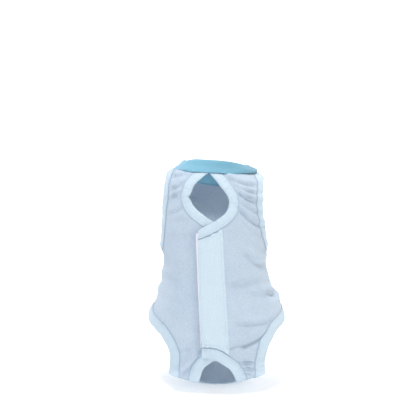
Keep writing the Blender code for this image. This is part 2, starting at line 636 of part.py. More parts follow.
def make_closing(edges, strip_finish, tape_finish):
    """The sewn strip on the right half's edge, and the hook-and-loop tape between the halves."""
    foot_left = OVERLAP_LEFT + OVERLAP_SLANT
    keyhole, tail = edges[1]["inner"]["keyhole"], edges[1]["inner"]["tail"]
    keyhole = keyhole[len(keyhole) // 2:]
    tail = tail[: len(tail) // 2]
    shares = np.linspace(0, 1, STRIP_COLUMNS + 1)
    top_across = OVERLAP_LEFT + shares * STRIP_WIDTH_TOP
    foot_across = foot_left + shares * STRIP_WIDTH_FOOT
    top, foot = seam_station(keyhole, top_across), seam_station(tail, foot_across)
    down = np.linspace(0, 1, STRIP_ROWS + 1)[:, None]
    across = top_across * (1 - down) + foot_across * down
    inset = STRIP_INSET / BODY_LENGTH * NECKLINE
    station = (top - inset) * (1 - down) + (foot + inset) * down
    net = np.stack([angle_at(across, station), station], -1)
    low = CLOTH + LAYER_GAP
    sheet_object("closing_strip", net, lifted_body, low, low + STRIP_CLOTH, strip_finish)
    tape_left = OVERLAP_LEFT + OVERLAP_SLANT + TAPE_MARGIN
    tape_right = OVERLAP_RIGHT - TAPE_MARGIN
    tape_across = tape_left + shares * (tape_right - tape_left)
    drop = TAPE_MARGIN / BODY_LENGTH * NECKLINE
    tape_top, tape_foot = KEYHOLE_FOOT_STATION - drop, TAIL_TOP_STATION + drop
    station = tape_top * (1 - down) + tape_foot * down + 0 * tape_across
    across = tape_across + 0 * down
    net = np.stack([angle_at(across, station), station], -1)
    sheet_object("fastening_tape", net, body, low, low + CLOSING_TAPE, tape_finish)


def make_neckband(finish):
    """The doubled band that stands up from the neckline, a little narrower at its top."""
    turn = np.linspace(0, 2 * math.pi, NECKBAND_SEGMENTS, endpoint=False)
    turn = np.where(turn > math.pi, turn - 2 * math.pi, turn)
    seat = plain_body(turn, np.full_like(turn, NECKLINE))
    middle = seat.mean(axis=0)
    inward = (middle - seat) * np.array([1, 1, 0])
    inward /= np.linalg.norm(inward, axis=1, keepdims=True)
    seat_gap, thick = BINDING_STAND + SEAM_GAP, NECKBAND_THICKNESS
    rings = []
    for k in range(NECKBAND_SEGMENTS):
        at_side = across_share(turn[k]) ** 2
        high = NECKBAND_HEIGHT * (1 - NECKBAND_SIDE_LOSS * at_side)
        lean = NECKBAND_LEAN * (1 + NECKBAND_SIDE_LEAN * at_side) * high
        # The band's outline: distance in from the neckline and height over it.
        outline = [
            (seat_gap, -0.10 * high), (seat_gap + 0.20 * lean, 0.32 * high),
            (seat_gap + 0.62 * lean, 0.74 * high), (seat_gap + lean, 0.96 * high),
            (seat_gap + lean + 0.5 * thick, high), (seat_gap + lean + thick, 0.92 * high),
            (seat_gap + 0.62 * lean + thick, 0.68 * high), (seat_gap + 0.20 * lean + thick, 0.30 * high),
            (seat_gap + thick, -0.08 * high),
        ]
        ring = [seat[k] + inward[k] * inset + np.array([0, 0, height]) for inset, height in outline]
        rings.append(np.array(ring))
    swept_object("neckband", rings, True, finish)


def main():
    clear_scene()
    jersey = material("jersey", COLOURS["jersey"], 0.9)
    binding = material("binding", COLOURS["binding"], 0.8)
    neckband = material("neckband", COLOURS["neckband"], 0.75)
    strip = material("strip", COLOURS["strip"], 0.8)
    tape = material("tape", COLOURS["tape"], 0.6)
    edges = {}
    for hand in (-1, 1):
        back, front = outer_edges(hand)
        edges[hand] = {"back": back, "front": front, "inner": inner_edges(hand)}
    make_panels(edges, jersey)
    make_hole_bindings(edges, binding)
    make_opening_bindings(edges, binding)
    make_closing(edges, strip, tape)
    make_neckband(neckband)


main()
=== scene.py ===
"""The looks of the pet recovery suit: its jersey, bindings, neckband and closing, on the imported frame.

Metres, in the frame's own axes: +Z up the body, -Y the side of the back, +X the wearer's right.
The cloth follows the same body as the frame's solids, in a finer net with its small folds and puckers.
"""

import math
from collections import namedtuple

import bmesh
import bpy
import numpy as np
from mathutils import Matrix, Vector


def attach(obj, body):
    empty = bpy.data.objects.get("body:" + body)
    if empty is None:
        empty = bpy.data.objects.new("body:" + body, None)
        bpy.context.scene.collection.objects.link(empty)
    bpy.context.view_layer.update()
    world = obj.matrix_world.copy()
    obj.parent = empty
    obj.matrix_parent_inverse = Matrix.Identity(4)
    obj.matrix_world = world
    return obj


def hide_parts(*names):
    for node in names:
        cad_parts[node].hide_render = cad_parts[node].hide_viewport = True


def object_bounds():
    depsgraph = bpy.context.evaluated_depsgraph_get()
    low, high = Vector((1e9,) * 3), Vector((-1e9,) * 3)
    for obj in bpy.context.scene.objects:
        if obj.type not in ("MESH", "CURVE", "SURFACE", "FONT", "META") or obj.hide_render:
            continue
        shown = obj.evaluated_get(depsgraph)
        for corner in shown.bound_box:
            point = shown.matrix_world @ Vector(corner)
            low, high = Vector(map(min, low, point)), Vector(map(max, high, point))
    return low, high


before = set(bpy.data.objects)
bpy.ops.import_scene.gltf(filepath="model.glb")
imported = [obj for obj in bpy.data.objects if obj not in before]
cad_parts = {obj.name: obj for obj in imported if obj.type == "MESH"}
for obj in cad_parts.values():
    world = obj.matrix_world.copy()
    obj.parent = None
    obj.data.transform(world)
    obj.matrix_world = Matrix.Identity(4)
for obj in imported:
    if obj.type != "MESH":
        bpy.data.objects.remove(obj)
cad_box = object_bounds()

# Sizes of the body and the cloth, as in the frame.
BODY_LENGTH = 0.2615
NECK_HALF_WIDTH = 0.0485
CHEST_HALF_WIDTH = 0.067
WAIST_HALF_WIDTH = 0.0625
HIP_HALF_WIDTH = 0.087
BODY_DEPTH = 0.134
CHEST_HEIGHT = 0.202
CLOTH = 0.0012
BINDING_WIDTH = 0.0108
LOW_BINDING_WIDTH = 0.0130
BINDING_THICKNESS = 0.0026
NECKBAND_HEIGHT = 0.0150
NECKBAND_THICKNESS = 0.0034
NECKBAND_LEAN = 0.28
NECKBAND_SIDE_LEAN = 1.4
NECKBAND_SIDE_LOSS = 0.22
CLOSING_TAPE = 0.0020
STRIP_CLOTH = 0.0011
SEAM_GAP = 0.0003
LAYER_GAP = 0.0005
OVERLAP_LEFT = -0.0200
OVERLAP_RIGHT = 0.0090
OVERLAP_SLANT = 0.0034
STRIP_WIDTH_TOP = 0.0276
STRIP_WIDTH_FOOT = 0.0326
STRIP_INSET = 0.0010
TAPE_MARGIN = 0.0040
SQUARENESS = 0.045
BACK_RISE = 0.0180
NECK_ROLL = 0.050
CROTCH_ANGLE = 40

# The torso's sections, from the crotch line (0) to the neckline, in shares of the sizes above.
Section = namedtuple("Section", "height follows width back side front drop rise sway")
SECTIONS = [Section(*row) for row in (
    (0.0, HIP_HALF_WIDTH, 0.66, -0.04, -0.04, -0.04, 0.0, 0.075, 0.02),
    (0.015, HIP_HALF_WIDTH, 0.76, -0.26, -0.03, 0.18, 0.0, 0.056, 0.02),
    (0.075, HIP_HALF_WIDTH, 0.885, -0.45, -0.01, 0.34, 0.0, 0.03, 0.022),
    (0.185, HIP_HALF_WIDTH, 0.955, -0.54, 0.0, 0.43, 0.0, 0.01, 0.024),
    (0.3, HIP_HALF_WIDTH, 0.972, -0.52, 0.02, 0.46, 0.0, 0.0, 0.02),
    (0.392, HIP_HALF_WIDTH, 0.872, -0.49, 0.04, 0.47, 0.0, 0.0, 0.026),
    (0.476, WAIST_HALF_WIDTH, 1.07, -0.45, 0.05, 0.49, 0.0, 0.0, 0.01),
    (0.576, WAIST_HALF_WIDTH, 1.0, -0.43, 0.07, 0.52, 0.0, 0.0, -0.004),
    (0.675, CHEST_HALF_WIDTH, 0.98, -0.41, 0.09, 0.58, 0.0, 0.0, -0.02),
    (0.782, CHEST_HALF_WIDTH, 1.0, -0.39, 0.1, 0.61, 0.0, 0.0, -0.028),
    (0.881, CHEST_HALF_WIDTH, 0.998, -0.34, 0.13, 0.6, 0.014, 0.0, -0.022),
    (0.95, CHEST_HALF_WIDTH, 0.955, -0.29, 0.14, 0.55, 0.036, 0.0, -0.018),
    (0.985, NECK_HALF_WIDTH, 1.132, -0.24, 0.15, 0.5, 0.062, 0.003, -0.012),
    (0.994, NECK_HALF_WIDTH, 1.0, -0.2, 0.15, 0.455, 0.08, 0.005, 0.004),
)]
NECKLINE = len(SECTIONS) - 1

# Points of the cloth's edge lines round the keyhole and the tail hole: how far they lie across from the
# middle of the back, as a share of HIP_HALF_WIDTH, and their station, which counts the sections.
KEYHOLE_RIGHT = [
    (0.055, 13.0), (0.092, 12.5), (0.182, 11.43), (0.262, 10.75), (0.302, 10.24), (0.298, 9.81),
    (0.266, 9.5), (0.205, 9.24), (0.135, 9.06), (0.056, 8.9), (-0.049, 8.72), (-0.142, 8.59),
]
KEYHOLE_LEFT = [
    (-0.229, 13.0), (-0.275, 12.55), (-0.378, 11.62), (-0.438, 10.84), (-0.464, 10.3), (-0.431, 9.81),
    (-0.349, 9.44), (-0.254, 9.2), (-0.172, 9.01), (-0.077, 8.84), (0.032, 8.64),
]
KEYHOLE_CORNER_LEFT = (-0.098, 12.78)
KEYHOLE_CORNER_RIGHT = (-0.088, 12.78)
KEYHOLE_END_CORNER = (-0.238, 8.82)
KEYHOLE_FOOT_STATION = 8.48
TAIL_TOP_STATION = 3.38
TAIL_RIGHT = [
    (-0.129, 3.4), (-0.048, 3.39), (0.025, 3.35), (0.1, 3.25), (0.222, 3.01), (0.311, 2.74), (0.374, 2.4),
    (0.424, 1.85), (0.425, 1.25), (0.362, 0.8), (0.22, 0.52), (0.08, 0.42),
]
TAIL_LEFT = [
    (0.033, 3.34), (-0.104, 3.21), (-0.193, 3.03), (-0.269, 2.81), (-0.324, 2.5), (-0.36, 2.0),
    (-0.37, 1.3), (-0.32, 0.8), (-0.205, 0.52), (-0.08, 0.42),
]
TAIL_FOOT_STATION = 0.40
ARMHOLE_TOP_STATION = 12.55
ARMHOLE_FOOT_STATION = 7.50
LEG_TOP_STATION = 4.56

# Points round the armholes and the leg holes: degrees round the body from the middle of the back, station, and
# the twist in degrees that shifts a point to the wearer's left on both sides.
ARMHOLE_BACK = [
    (66.0, 12.35, 2.4), (55.0, 11.5, 1.6), (47.6, 10.54, 2.1), (47.4, 9.86, 3.0), (49.2, 9.36, 2.8),
    (52.0, 8.87, 1.6), (57.4, 8.33, 0.7), (70.0, 7.72, -1.0),
]
ARMHOLE_FRONT = [
    (106, 7.68), (119, 8.35), (127, 9.3), (129, 10.4), (124, 11.5), (110, 12.25),
]
LEG_BACK = [
    (78.0, 4.55, 0.0), (65.3, 4.5, 3.0), (53.7, 4.4, 2.0), (46.4, 4.25, 0.5), (40.4, 4.07, -0.8),
    (33.9, 3.7, -0.8), (30.9, 3.43, -0.8), (29.3, 3.1, -0.8), (29.2, 2.67, -0.2), (31.4, 2.15, 0.0),
    (35.0, 1.55, 0.0), (38.0, 0.8, 0.0),
]
LEG_FRONT = [
    (104, 4.52), (121, 4.3), (136, 3.85), (145, 3.1), (148, 2.1), (144, 1.0),
]

# Folds of the cloth, each a valley with a ridge on its upper side. The ends are shares of HIP_HALF_WIDTH and
# BODY_LENGTH, the bow is a share of the length, and width and depth are shares of FOLD_WIDTH and FOLD_DEPTH.
# Face is 1 on the back and -1 on the front.
Fold = namedtuple("Fold", "across_a height_a across_b height_b bow width depth face")
BACK_FOLDS = [
    (0.11, 1.001, 0.58, 0.951, 0.06, 0.24, 0.13), (0.2, 0.972, 0.6, 0.915, 0.06, 0.22, 0.1),
    (0.26, 0.938, 0.62, 0.872, 0.07, 0.3, 0.2), (0.28, 0.9, 0.62, 0.822, 0.06, 0.24, 0.1),
    (0.28, 0.862, 0.64, 0.765, 0.06, 0.34, 0.23), (0.36, 0.8, 0.62, 0.72, 0.05, 0.34, 0.09),
    (-0.6, 0.982, -0.43, 1.004, 0.0, 0.22, 0.09), (-0.6, 0.935, -0.42, 0.972, 0.03, 0.24, 0.12),
    (-0.63, 0.89, -0.46, 0.933, 0.04, 0.25, 0.13), (-0.66, 0.823, -0.42, 0.866, 0.05, 0.28, 0.13),
    (-0.66, 0.79, -0.39, 0.812, 0.05, 0.46, 0.1), (-0.66, 0.715, -0.4, 0.735, 0.05, 0.55, 0.05),
    (0.37, 0.652, 0.67, 0.58, 0.05, 0.5, 0.16), (0.42, 0.7, 0.66, 0.65, 0.04, 0.55, 0.07),
    (0.17, 0.505, 0.61, 0.511, 0.05, 0.6, 0.11), (0.45, 0.47, 0.74, 0.44, 0.05, 0.5, 0.13),
    (0.7, 0.46, 0.96, 0.39, 0.0, 0.24, 0.18), (-0.72, 0.52, -0.5, 0.5, -0.04, 0.55, 0.09),
    (-0.78, 0.43, -0.45, 0.415, -0.04, 0.6, 0.08), (0.29, 0.334, 0.79, 0.335, 0.05, 0.46, 0.18),
    (0.13, 0.227, 0.4, 0.24, -0.04, 0.44, 0.16), (0.38, 0.238, 0.66, 0.274, 0.04, 0.46, 0.27),
    (0.27, 0.168, 0.53, 0.16, 0.04, 0.28, 0.14), (0.3, 0.132, 0.53, 0.122, 0.0, 0.28, 0.17),
    (0.33, 0.1, 0.53, 0.09, 0.0, 0.28, 0.17), (0.38, 0.062, 0.53, 0.066, 0.0, 0.26, 0.13),
    (-0.57, 0.204, -0.31, 0.218, 0.03, 0.46, 0.09), (-0.2, 0.204, -0.51, 0.077, 0.03, 0.46, 0.24),
]
FRONT_FOLDS = [
    (-0.66, 0.86, -0.3, 0.8, 0.05, 0.6, 0.14), (0.66, 0.85, 0.28, 0.79, 0.05, 0.6, 0.14),
    (-0.64, 0.7, -0.2, 0.66, 0.05, 0.7, 0.12), (0.62, 0.69, 0.18, 0.65, 0.05, 0.7, 0.12),
    (-0.6, 0.56, 0.1, 0.54, 0.05, 0.8, 0.1), (0.62, 0.48, 0.0, 0.455, 0.05, 0.8, 0.1),
    (-0.66, 0.35, -0.3, 0.3, 0.05, 0.6, 0.16), (0.7, 0.34, 0.3, 0.29, 0.05, 0.6, 0.16),
    (-0.45, 0.23, 0.1, 0.2, 0.05, 0.6, 0.12), (0.46, 0.18, 0.02, 0.13, 0.05, 0.55, 0.12),
]
FOLDS = [Fold(*row, 1) for row in BACK_FOLDS] + [Fold(*row, -1) for row in FRONT_FOLDS]

# Bulges of the cloth at the sides, in degrees and stations, with heights as shares of FOLD_DEPTH.
Bulge = namedtuple("Bulge", "angle station reach_angle reach_station height")
BULGES = [
    Bulge(-90, 6.45, 26, 0.27, 0.14), Bulge(-90, 5.58, 24, 0.20, 0.10), Bulge(-90, 4.74, 20, 0.20, -0.11),
    Bulge(90, 5.15, 24, 0.17, 0.16), Bulge(92, 5.52, 20, 0.16, -0.16), Bulge(90, 9.4, 20, 0.30, 0.04),
]

# How much finer the net is than the frame's solids, row by row and across.
FINE = 5
SHOULDER_ROWS = 1 * FINE
ARMHOLE_ROWS = 15 * FINE
SIDE_ROWS = 9 * FINE
UPPER_LEG_ROWS = 9 * FINE
FRONT_LEG_ROWS = 15 * FINE
KEYHOLE_ROWS = 15 * FINE
TAIL_ROWS = 9 * FINE
CENTRE_ROWS = 2 * FINE
EDGE_ROWS = SHOULDER_ROWS + ARMHOLE_ROWS + SIDE_ROWS + UPPER_LEG_ROWS - KEYHOLE_ROWS
LOWER_LEG_ROWS = TAIL_ROWS + CENTRE_ROWS
BACK_COLUMNS = 64
BELLY_COLUMNS = 110
STRIP_ROWS = 150
SEAM_FADE_ROWS = 5
STRIP_COLUMNS = 32
STRIP_EASE = 0.16
EDGE_RISE = 0.28
NECKBAND_TUCK = 0.0042
NECKBAND_FOLD = 0.0050
NECKBAND_WORN_LOSS = 0.11
NECKBAND_ARCH = 0.11
NECKBAND_ARCH_PLACE = -0.72
NECKBAND_ARCH_REACH = 0.34
NECKBAND_FOLD_PLACE = 0.46
NECKBAND_FOLD_REACH = 0.20
NECKBAND_OVERHANG = 0.42
BAND_SEGMENTS = 320

BINDING_STAND = (BINDING_THICKNESS - CLOTH) / 2
LIFT = max(CLOTH + CLOSING_TAPE + 2 * LAYER_GAP, BINDING_THICKNESS + LAYER_GAP)
LIFT_SIDE = (OVERLAP_RIGHT + BINDING_WIDTH * 0.75, OVERLAP_RIGHT + BINDING_WIDTH * 2.6)
LIFT_TOP = (0.805 * BODY_LENGTH, 0.915 * BODY_LENGTH)
LIFT_FOOT = (0.100 * BODY_LENGTH, 0.175 * BODY_LENGTH)
TINY = 1e-4
WALK_STEP = 0.0015

# Relief of the cloth, in metres. A fold fades over FOLD_ENDS of its length at each end, and its ridge's
# height, place and spread are shares of its depth and width.
FOLD_WIDTH = 0.0090
FOLD_DEPTH = 0.0165
FOLD_ENDS = 0.4
RIDGE_HEIGHT = 0.75
RIDGE_PLACE = 1.6
RIDGE_SPREAD = 1.3
PUCKER_DEPTH = 0.00028
PUCKER_REACH = 0.0040
SEAM_CALM = 0.45
CALM_REACH = 0.0075
WAVE_DEPTH = 0.00050
KEYHOLE_PINCH = 0.26
PINCH_REACH = 0.0045
END_REACH = 0.008
LIP = 0.0006
LIP_GAP = 0.00012
SEAM_SHADE = 0.0010
DASH_PITCH = 0.0040
STITCH_LENGTH = 0.0020
STITCH_PITCH = 0.0029
STITCH_THICKNESS = 0.00042
STITCH_SIDES = 6
STITCH_STEPS = 6
# How far the painted seam shade fades out at the right keyhole binding's end.
SEAM_SHADE_FADE_END = 0.012
SPLINE_STEPS = 24
PLACES_AT_ONCE = 4000
HALVES = {
    -1: (KEYHOLE_LEFT, TAIL_LEFT, OVERLAP_RIGHT, 0.0),
    1: (KEYHOLE_RIGHT, TAIL_RIGHT, OVERLAP_LEFT, OVERLAP_SLANT),
}


def smooth(value):
    """0 to 1 with soft ends."""
    value = np.clip(value, 0.0, 1.0)
    return value * value * (3 - 2 * value)


def risen(value, start, end):
    """0 to 1 with soft ends, as the value goes from start to end."""
    return smooth((value - start) / (end - start))


def unit(vectors):
    """The vectors at length 1."""
    return vectors / np.linalg.norm(vectors, axis=-1, keepdims=True)


def run_along(points):
    """How far along a line each of its points lies."""
    return np.concatenate([[0], np.cumsum(np.linalg.norm(np.diff(points, axis=0), axis=1))])


def over(surface, net):
    """Places on a surface of a net's or a line's angles and stations."""
    return surface(net[..., 0], net[..., 1])


def curve(a, b, c, d, t):
    """From b to c, smoothly on from a and towards d."""
    return 0.5 * (2 * b + (c - a) * t + (2 * a - 5 * b + 4 * c - d) * t**2 + (3 * b - a - 3 * c + d) * t**3)


def spline(points, before, after):
    """A smooth line through points, with the neighbours that it has beyond each end."""
    line = np.array([before, *points, after], float)
    steps = np.arange(SPLINE_STEPS)[:, None] / SPLINE_STEPS
    parts = [curve(a, b, c, d, steps) for a, b, c, d in zip(line, line[1:], line[2:], line[3:])]
    return np.concatenate([*parts, line[-2:-1]])


LENGTHS = {"back": BODY_DEPTH, "side": BODY_DEPTH, "front": BODY_DEPTH, "sway": HIP_HALF_WIDTH}
COLUMNS = {
    name: np.array([getattr(row, name) for row in SECTIONS]) * LENGTHS.get(name, BODY_LENGTH)
    for name in ("height", "back", "side", "front", "drop", "rise", "sway")
}
COLUMNS["width"] = np.array([row.width * row.follows for row in SECTIONS])
CONTINUES = {"back": "front", "front": "back"}


def along_sections(column, station):
    """A column's value at a station, smoothly between the sections and straight on past the neckline."""
    values = COLUMNS[column]
    below = COLUMNS[CONTINUES.get(column, column)][1]
    padded = np.concatenate([[below], values, [2 * values[-1] - values[-2]]])
    i = np.clip(np.floor(station).astype(int), 0, NECKLINE - 1)
    return curve(padded[i], padded[i + 1], padded[i + 2], padded[i + 3], station - i)


def across_share(angle):
    return (np.sin(angle) + SQUARENESS * np.sin(3 * angle)) / (1 - SQUARENESS)


def depth_share(angle):
    return (np.cos(angle) - SQUARENESS * np.cos(3 * angle)) / (1 - SQUARENESS)


def plain_body(angle, station):
    """The torso without folds. Stations below 0 are the front, seen on past the crotch line."""
    angle, station = np.broadcast_arrays(np.asarray(angle, float), np.asarray(station, float))
    angle = np.where(station < 0, np.sign(angle + TINY) * math.pi - angle, angle)
    station = np.abs(station)
    out = depth_share(angle)
    side = along_sections("side", station)
    towards = np.where(out > 0, along_sections("back", station), along_sections("front", station))
    x = across_share(angle) * along_sections("width", station) + along_sections("sway", station)
    y = side + np.abs(out) * (towards - side)
    z = along_sections("height", station)
    z = z + along_sections("rise", station) * across_share(angle) ** 2
    neck = smooth((station - NECKLINE + 2) / 2)
    z = z + np.where(out > 0, BACK_RISE * BODY_LENGTH * neck, -along_sections("drop", station)) * out**2
    z = z - x * NECK_ROLL * smooth((station - NECKLINE + 3) / 3)
    return np.stack([x, y, z], -1)


def normal_of(surface, angle, station, step_a=1e-3, step_s=2e-3):
    """Outward unit normals of a surface given by a function."""
    along_angle = surface(angle + step_a, station) - surface(angle - step_a, station)
    along_station = surface(angle, station + step_s) - surface(angle, station - step_s)
    return unit(np.cross(along_angle, along_station))


def fold_depth(place, out):
    """How far the folds move the cloth out at each place."""
    moved = np.zeros(place.shape[:-1])
    x, z = place[..., 0] / HIP_HALF_WIDTH, place[..., 2] / BODY_LENGTH
    for f in FOLDS:
        run = np.array([(f.across_b - f.across_a) * HIP_HALF_WIDTH, (f.height_b - f.height_a) * BODY_LENGTH])
        length = np.linalg.norm(run)
        run = run / length
        dx, dz = (x - f.across_a) * HIP_HALF_WIDTH, (z - f.height_a) * BODY_LENGTH
        share = (dx * run[0] + dz * run[1]) / length
        held = np.clip(share, -0.3, 1.3)
        sag = f.bow * length * 4 * held * (1 - held)
        away = ((dz * run[0] - dx * run[1]) * math.copysign(1, run[0]) + sag) / (f.width * FOLD_WIDTH)
        ends = smooth(share / FOLD_ENDS + 0.5) * smooth((1 - share) / FOLD_ENDS + 0.5)
        profile = RIDGE_HEIGHT * np.exp(-((away - RIDGE_PLACE) ** 2) / RIDGE_SPREAD) - np.exp(-(away**2))
        moved += f.depth * FOLD_DEPTH * ends * profile * smooth(f.face * out * 3)
    return moved


def bulge_height(angle, station):
    """How far the bulges move the cloth out at each place."""
    moved = np.zeros(np.broadcast(angle, station).shape)
    for b in BULGES:
        beside = ((np.degrees(angle) - b.angle + 180) % 360 - 180) / b.reach_angle
        above = (station - b.station) / b.reach_station
        moved += b.height * FOLD_DEPTH * np.exp(-(beside**2) - above**2)
    return moved


def slow_waves(place):
    """Broad, shallow unevenness of cloth that is stretched over a soft body."""
    x, y, z = place[..., 0], place[..., 1], place[..., 2]
    round_body = np.arctan2(x, -y) * CHEST_HALF_WIDTH
    waves = np.sin(z * 210 + round_body * 42 + 0.7) + 0.8 * np.sin(z * 131 - round_body * 77 + 2.1)
    waves += 0.6 * np.sin(z * 335 + round_body * 23 + 4.0) + 0.5 * np.sin(z * 87 + round_body * 160 + 1.3)
    return WAVE_DEPTH * waves / 2


seams = []


def seam_samples(line):
    """A seam's points, directions and distances along it, on the plain body, and whether it is a loop."""
    place = over(plain_body, line)
    loop = np.linalg.norm(place[0] - place[-1]) < TINY
    return place, unit(np.gradient(place, axis=0)), run_along(place), loop


def seam_distance(place, seam):
    """Distance of each place from a seam, and how far along it its nearest point lies."""
    flat = place.reshape(-1, 3)
    points, ahead, run, loop = seam
    away, along = np.empty(len(flat)), np.empty(len(flat))
    for start in range(0, len(flat), PLACES_AT_ONCE):
        some = slice(start, start + PLACES_AT_ONCE)
        nearest = ((flat[some, None, :] - points[None]) ** 2).sum(-1).argmin(1)
        step = flat[some] - points[nearest]
        forward = (step * ahead[nearest]).sum(1)
        kept = forward if loop else np.clip(forward, -run[nearest], run[-1] - run[nearest])
        away[some] = np.sqrt(np.maximum((step**2).sum(1) - 2 * kept * forward + kept**2, 0))
        along[some] = run[nearest] + kept
    return away.reshape(place.shape[:-1]), along.reshape(place.shape[:-1])


def pucker_height(place):
    """Small ripples square to each bound seam, and the share of its folds that the cloth keeps near one."""
    moved = np.zeros(place.shape[:-1])
    calm = np.ones(place.shape[:-1])
    for k, seam in enumerate(seams):
        away, along = seam_distance(place, seam)
        calm = np.minimum(calm, SEAM_CALM + (1 - SEAM_CALM) * smooth(away / CALM_REACH))
        near = away / PUCKER_REACH
        window = near * np.exp(1 - near) * (away < PUCKER_REACH * 8)
        swell = 0.6 + 0.4 * np.sin(along * 96 + k * 1.9)
        ripple = np.sin(along * 1010 + 1.4 * np.sin(along * 170 + k)) + 0.7 * np.sin(along * 640 + 2.2 * k)
        moved += PUCKER_DEPTH * window * swell * ripple
    return moved, calm


def body(angle, station):
    """The inner face of the cloth, with its folds and puckers."""
    place = plain_body(angle, station)
    out = np.where(station < 0, -1, depth_share(angle))
    puckers, calm = pucker_height(place)
    moved = (fold_depth(place, out) + slow_waves(place) * smooth(np.abs(station) / 2)) * calm + puckers
    moved += bulge_height(angle, station)
    return place + normal_of(plain_body, angle, station) * moved[..., None]


def lifted_body(angle, station):
    """The inner face of the right half, raised where it laps over the left half."""
    place = plain_body(angle, station)
    x, z = place[..., 0], place[..., 2]
    raised = LIFT * risen(x, *LIFT_SIDE[::-1]) * risen(z, *LIFT_TOP[::-1]) * risen(z, *LIFT_FOOT)
    return body(angle, station) + normal_of(plain_body, angle, station) * raised[..., None]


def angle_at(across, station):
    """The angle round the body at a distance across from the middle."""
    table = np.linspace(-math.pi / 2, math.pi / 2, 721)
    station = np.asarray(station, float)
    share = (across - along_sections("sway", station)) / along_sections("width", station)
    return np.interp(share, across_share(table), table)


def point_at(across, station):
    """Angle and station of a point at a distance across from the middle."""
    return float(angle_at(across, station)), station


def from_across(rows):
    return [point_at(across * HIP_HALF_WIDTH, station) for across, station in rows]


def from_degrees(rows, hand):
    """Angle and station of points on the left (-1) or the right (1), with their twist if they have one."""
    return [(hand * math.radians(angle - hand * sum(twist)), station) for angle, station, *twist in rows]


def spaced(line, rows):
    """The line's points in angle and station, at even distances along the body."""
    run = run_along(over(plain_body, line))
    wanted = np.linspace(0, run[-1], rows + 1)
    return np.stack([np.interp(wanted, run, line[:, k]) for k in (0, 1)], -1)


def past_crotch(point):
    """A point of the front, as its angle and station beyond the crotch line."""
    return math.copysign(math.pi, point[0]) - point[0], -point[1]


def beyond(point, neighbour):
    """The point as far past a point as its neighbour is before it."""
    return tuple(2 * np.array(point) - np.array(neighbour))


def straight(start, end, rows):
    return spaced(np.linspace(start, end, 60), rows)


def outer_edges(hand):
    """The outer edge lines of a back panel, and those of the belly panel beside it, top to bottom."""
    side = hand * math.pi / 2
    stations = (ARMHOLE_TOP_STATION, ARMHOLE_FOOT_STATION, LEG_TOP_STATION)
    shoulder, underarm, hip = ((side, station) for station in stations)
    arm_back, leg_back = from_degrees(ARMHOLE_BACK, hand), from_degrees(LEG_BACK, hand)
    arm_front, leg_front = from_degrees(ARMHOLE_FRONT, hand), from_degrees(LEG_FRONT, hand)
    crotch_back, crotch_front = from_degrees([(CROTCH_ANGLE, 0.0), (180 - CROTCH_ANGLE, 0.0)], hand)
    shoulder_seam = straight((side, NECKLINE), shoulder, SHOULDER_ROWS)
    side_seam = straight(underarm, hip, SIDE_ROWS)
    arm_back_line = spline([shoulder, *arm_back, underarm], arm_front[-1], arm_front[0])
    arm_front_line = spline([shoulder, *arm_front[::-1], underarm], arm_back[0], arm_back[-1])
    leg_back_line = spline([hip, *leg_back, crotch_back], leg_front[0], past_crotch(leg_front[-1]))
    leg_front_line = spline([hip, *leg_front, crotch_front], leg_back[0], past_crotch(leg_back[-1]))
    split = int(np.argmax(leg_back_line[:, 1] < TAIL_TOP_STATION))
    back = {
        "shoulder": shoulder_seam,
        "armhole": spaced(arm_back_line, ARMHOLE_ROWS),
        "side": side_seam,
        "upper_leg": spaced(leg_back_line[:split], UPPER_LEG_ROWS),
        "lower_leg": spaced(leg_back_line[split - 1:], LOWER_LEG_ROWS),
    }
    front = {
        "shoulder": shoulder_seam,
        "armhole": spaced(arm_front_line, ARMHOLE_ROWS),
        "side": side_seam,
        "leg": spaced(leg_front_line, FRONT_LEG_ROWS),
    }
    return back, front


def inner_edges(hand):
    """The inner edge lines of a back panel: keyhole, overlap edge, tail hole and crotch centre."""
    keyhole, tail, edge, slant = HALVES[hand]
    key_foot = point_at(edge, KEYHOLE_FOOT_STATION)
    tail_top = point_at(edge + slant, TAIL_TOP_STATION)
    tail_foot = point_at(0.0, TAIL_FOOT_STATION)
    key_line, tail_line = from_across(keyhole), from_across(tail)
    key_line = spline([*key_line, key_foot], beyond(*key_line[:2]), beyond(key_foot, key_line[-1]))
    round_the_foot = from_across(HALVES[-hand][1])[-1]
    tail_line = spline([tail_top, *tail_line, tail_foot], beyond(tail_top, tail_line[0]), round_the_foot)
    stations = np.linspace(KEYHOLE_FOOT_STATION, TAIL_TOP_STATION, 60)
    edge_line = np.stack([angle_at(np.linspace(edge, edge + slant, 60), stations), stations], -1)
    return {
        "keyhole": spaced(key_line, KEYHOLE_ROWS),
        "edge": spaced(edge_line, EDGE_ROWS),
        "tail": spaced(tail_line, TAIL_ROWS),
        "centre": straight(tail_foot, point_at(0.0, 0.0), CENTRE_ROWS),
    }


def joined(lines):
    """Edge lines end to end, with no point twice."""
    first, *others = lines
    return np.concatenate([first, *[line[1:] for line in others]])


def hole_loop(edges, hand, hole):
    """The edge line right round an armhole or a leg hole, with no point twice."""
    back = joined(line for name, line in edges[hand]["back"].items() if name.endswith(hole))
    return np.concatenate([back, edges[hand]["front"][hole][-2:0:-1]])


def moved_in(edge, other, distance):
    """An edge line drawn in towards another by a distance, row by row."""
    start, step = over(plain_body, edge), (other - edge) * 1e-3
    rate = np.linalg.norm(over(plain_body, edge + step) - start, axis=1, keepdims=True)
    gap = np.linalg.norm(over(plain_body, other) - start, axis=1, keepdims=True)
    return edge + step * distance / np.maximum(rate, gap * 1e-4)


def patch(left, right, columns):
    """Angle and station of a net between two edge lines, in rows that leave both edges level."""
    shares = np.linspace(0, 1, columns + 1)
    shares = np.stack([shares, smooth(smooth(shares))], -1)[None]
    return left[:, None, :] * (1 - shares) + right[:, None, :] * shares


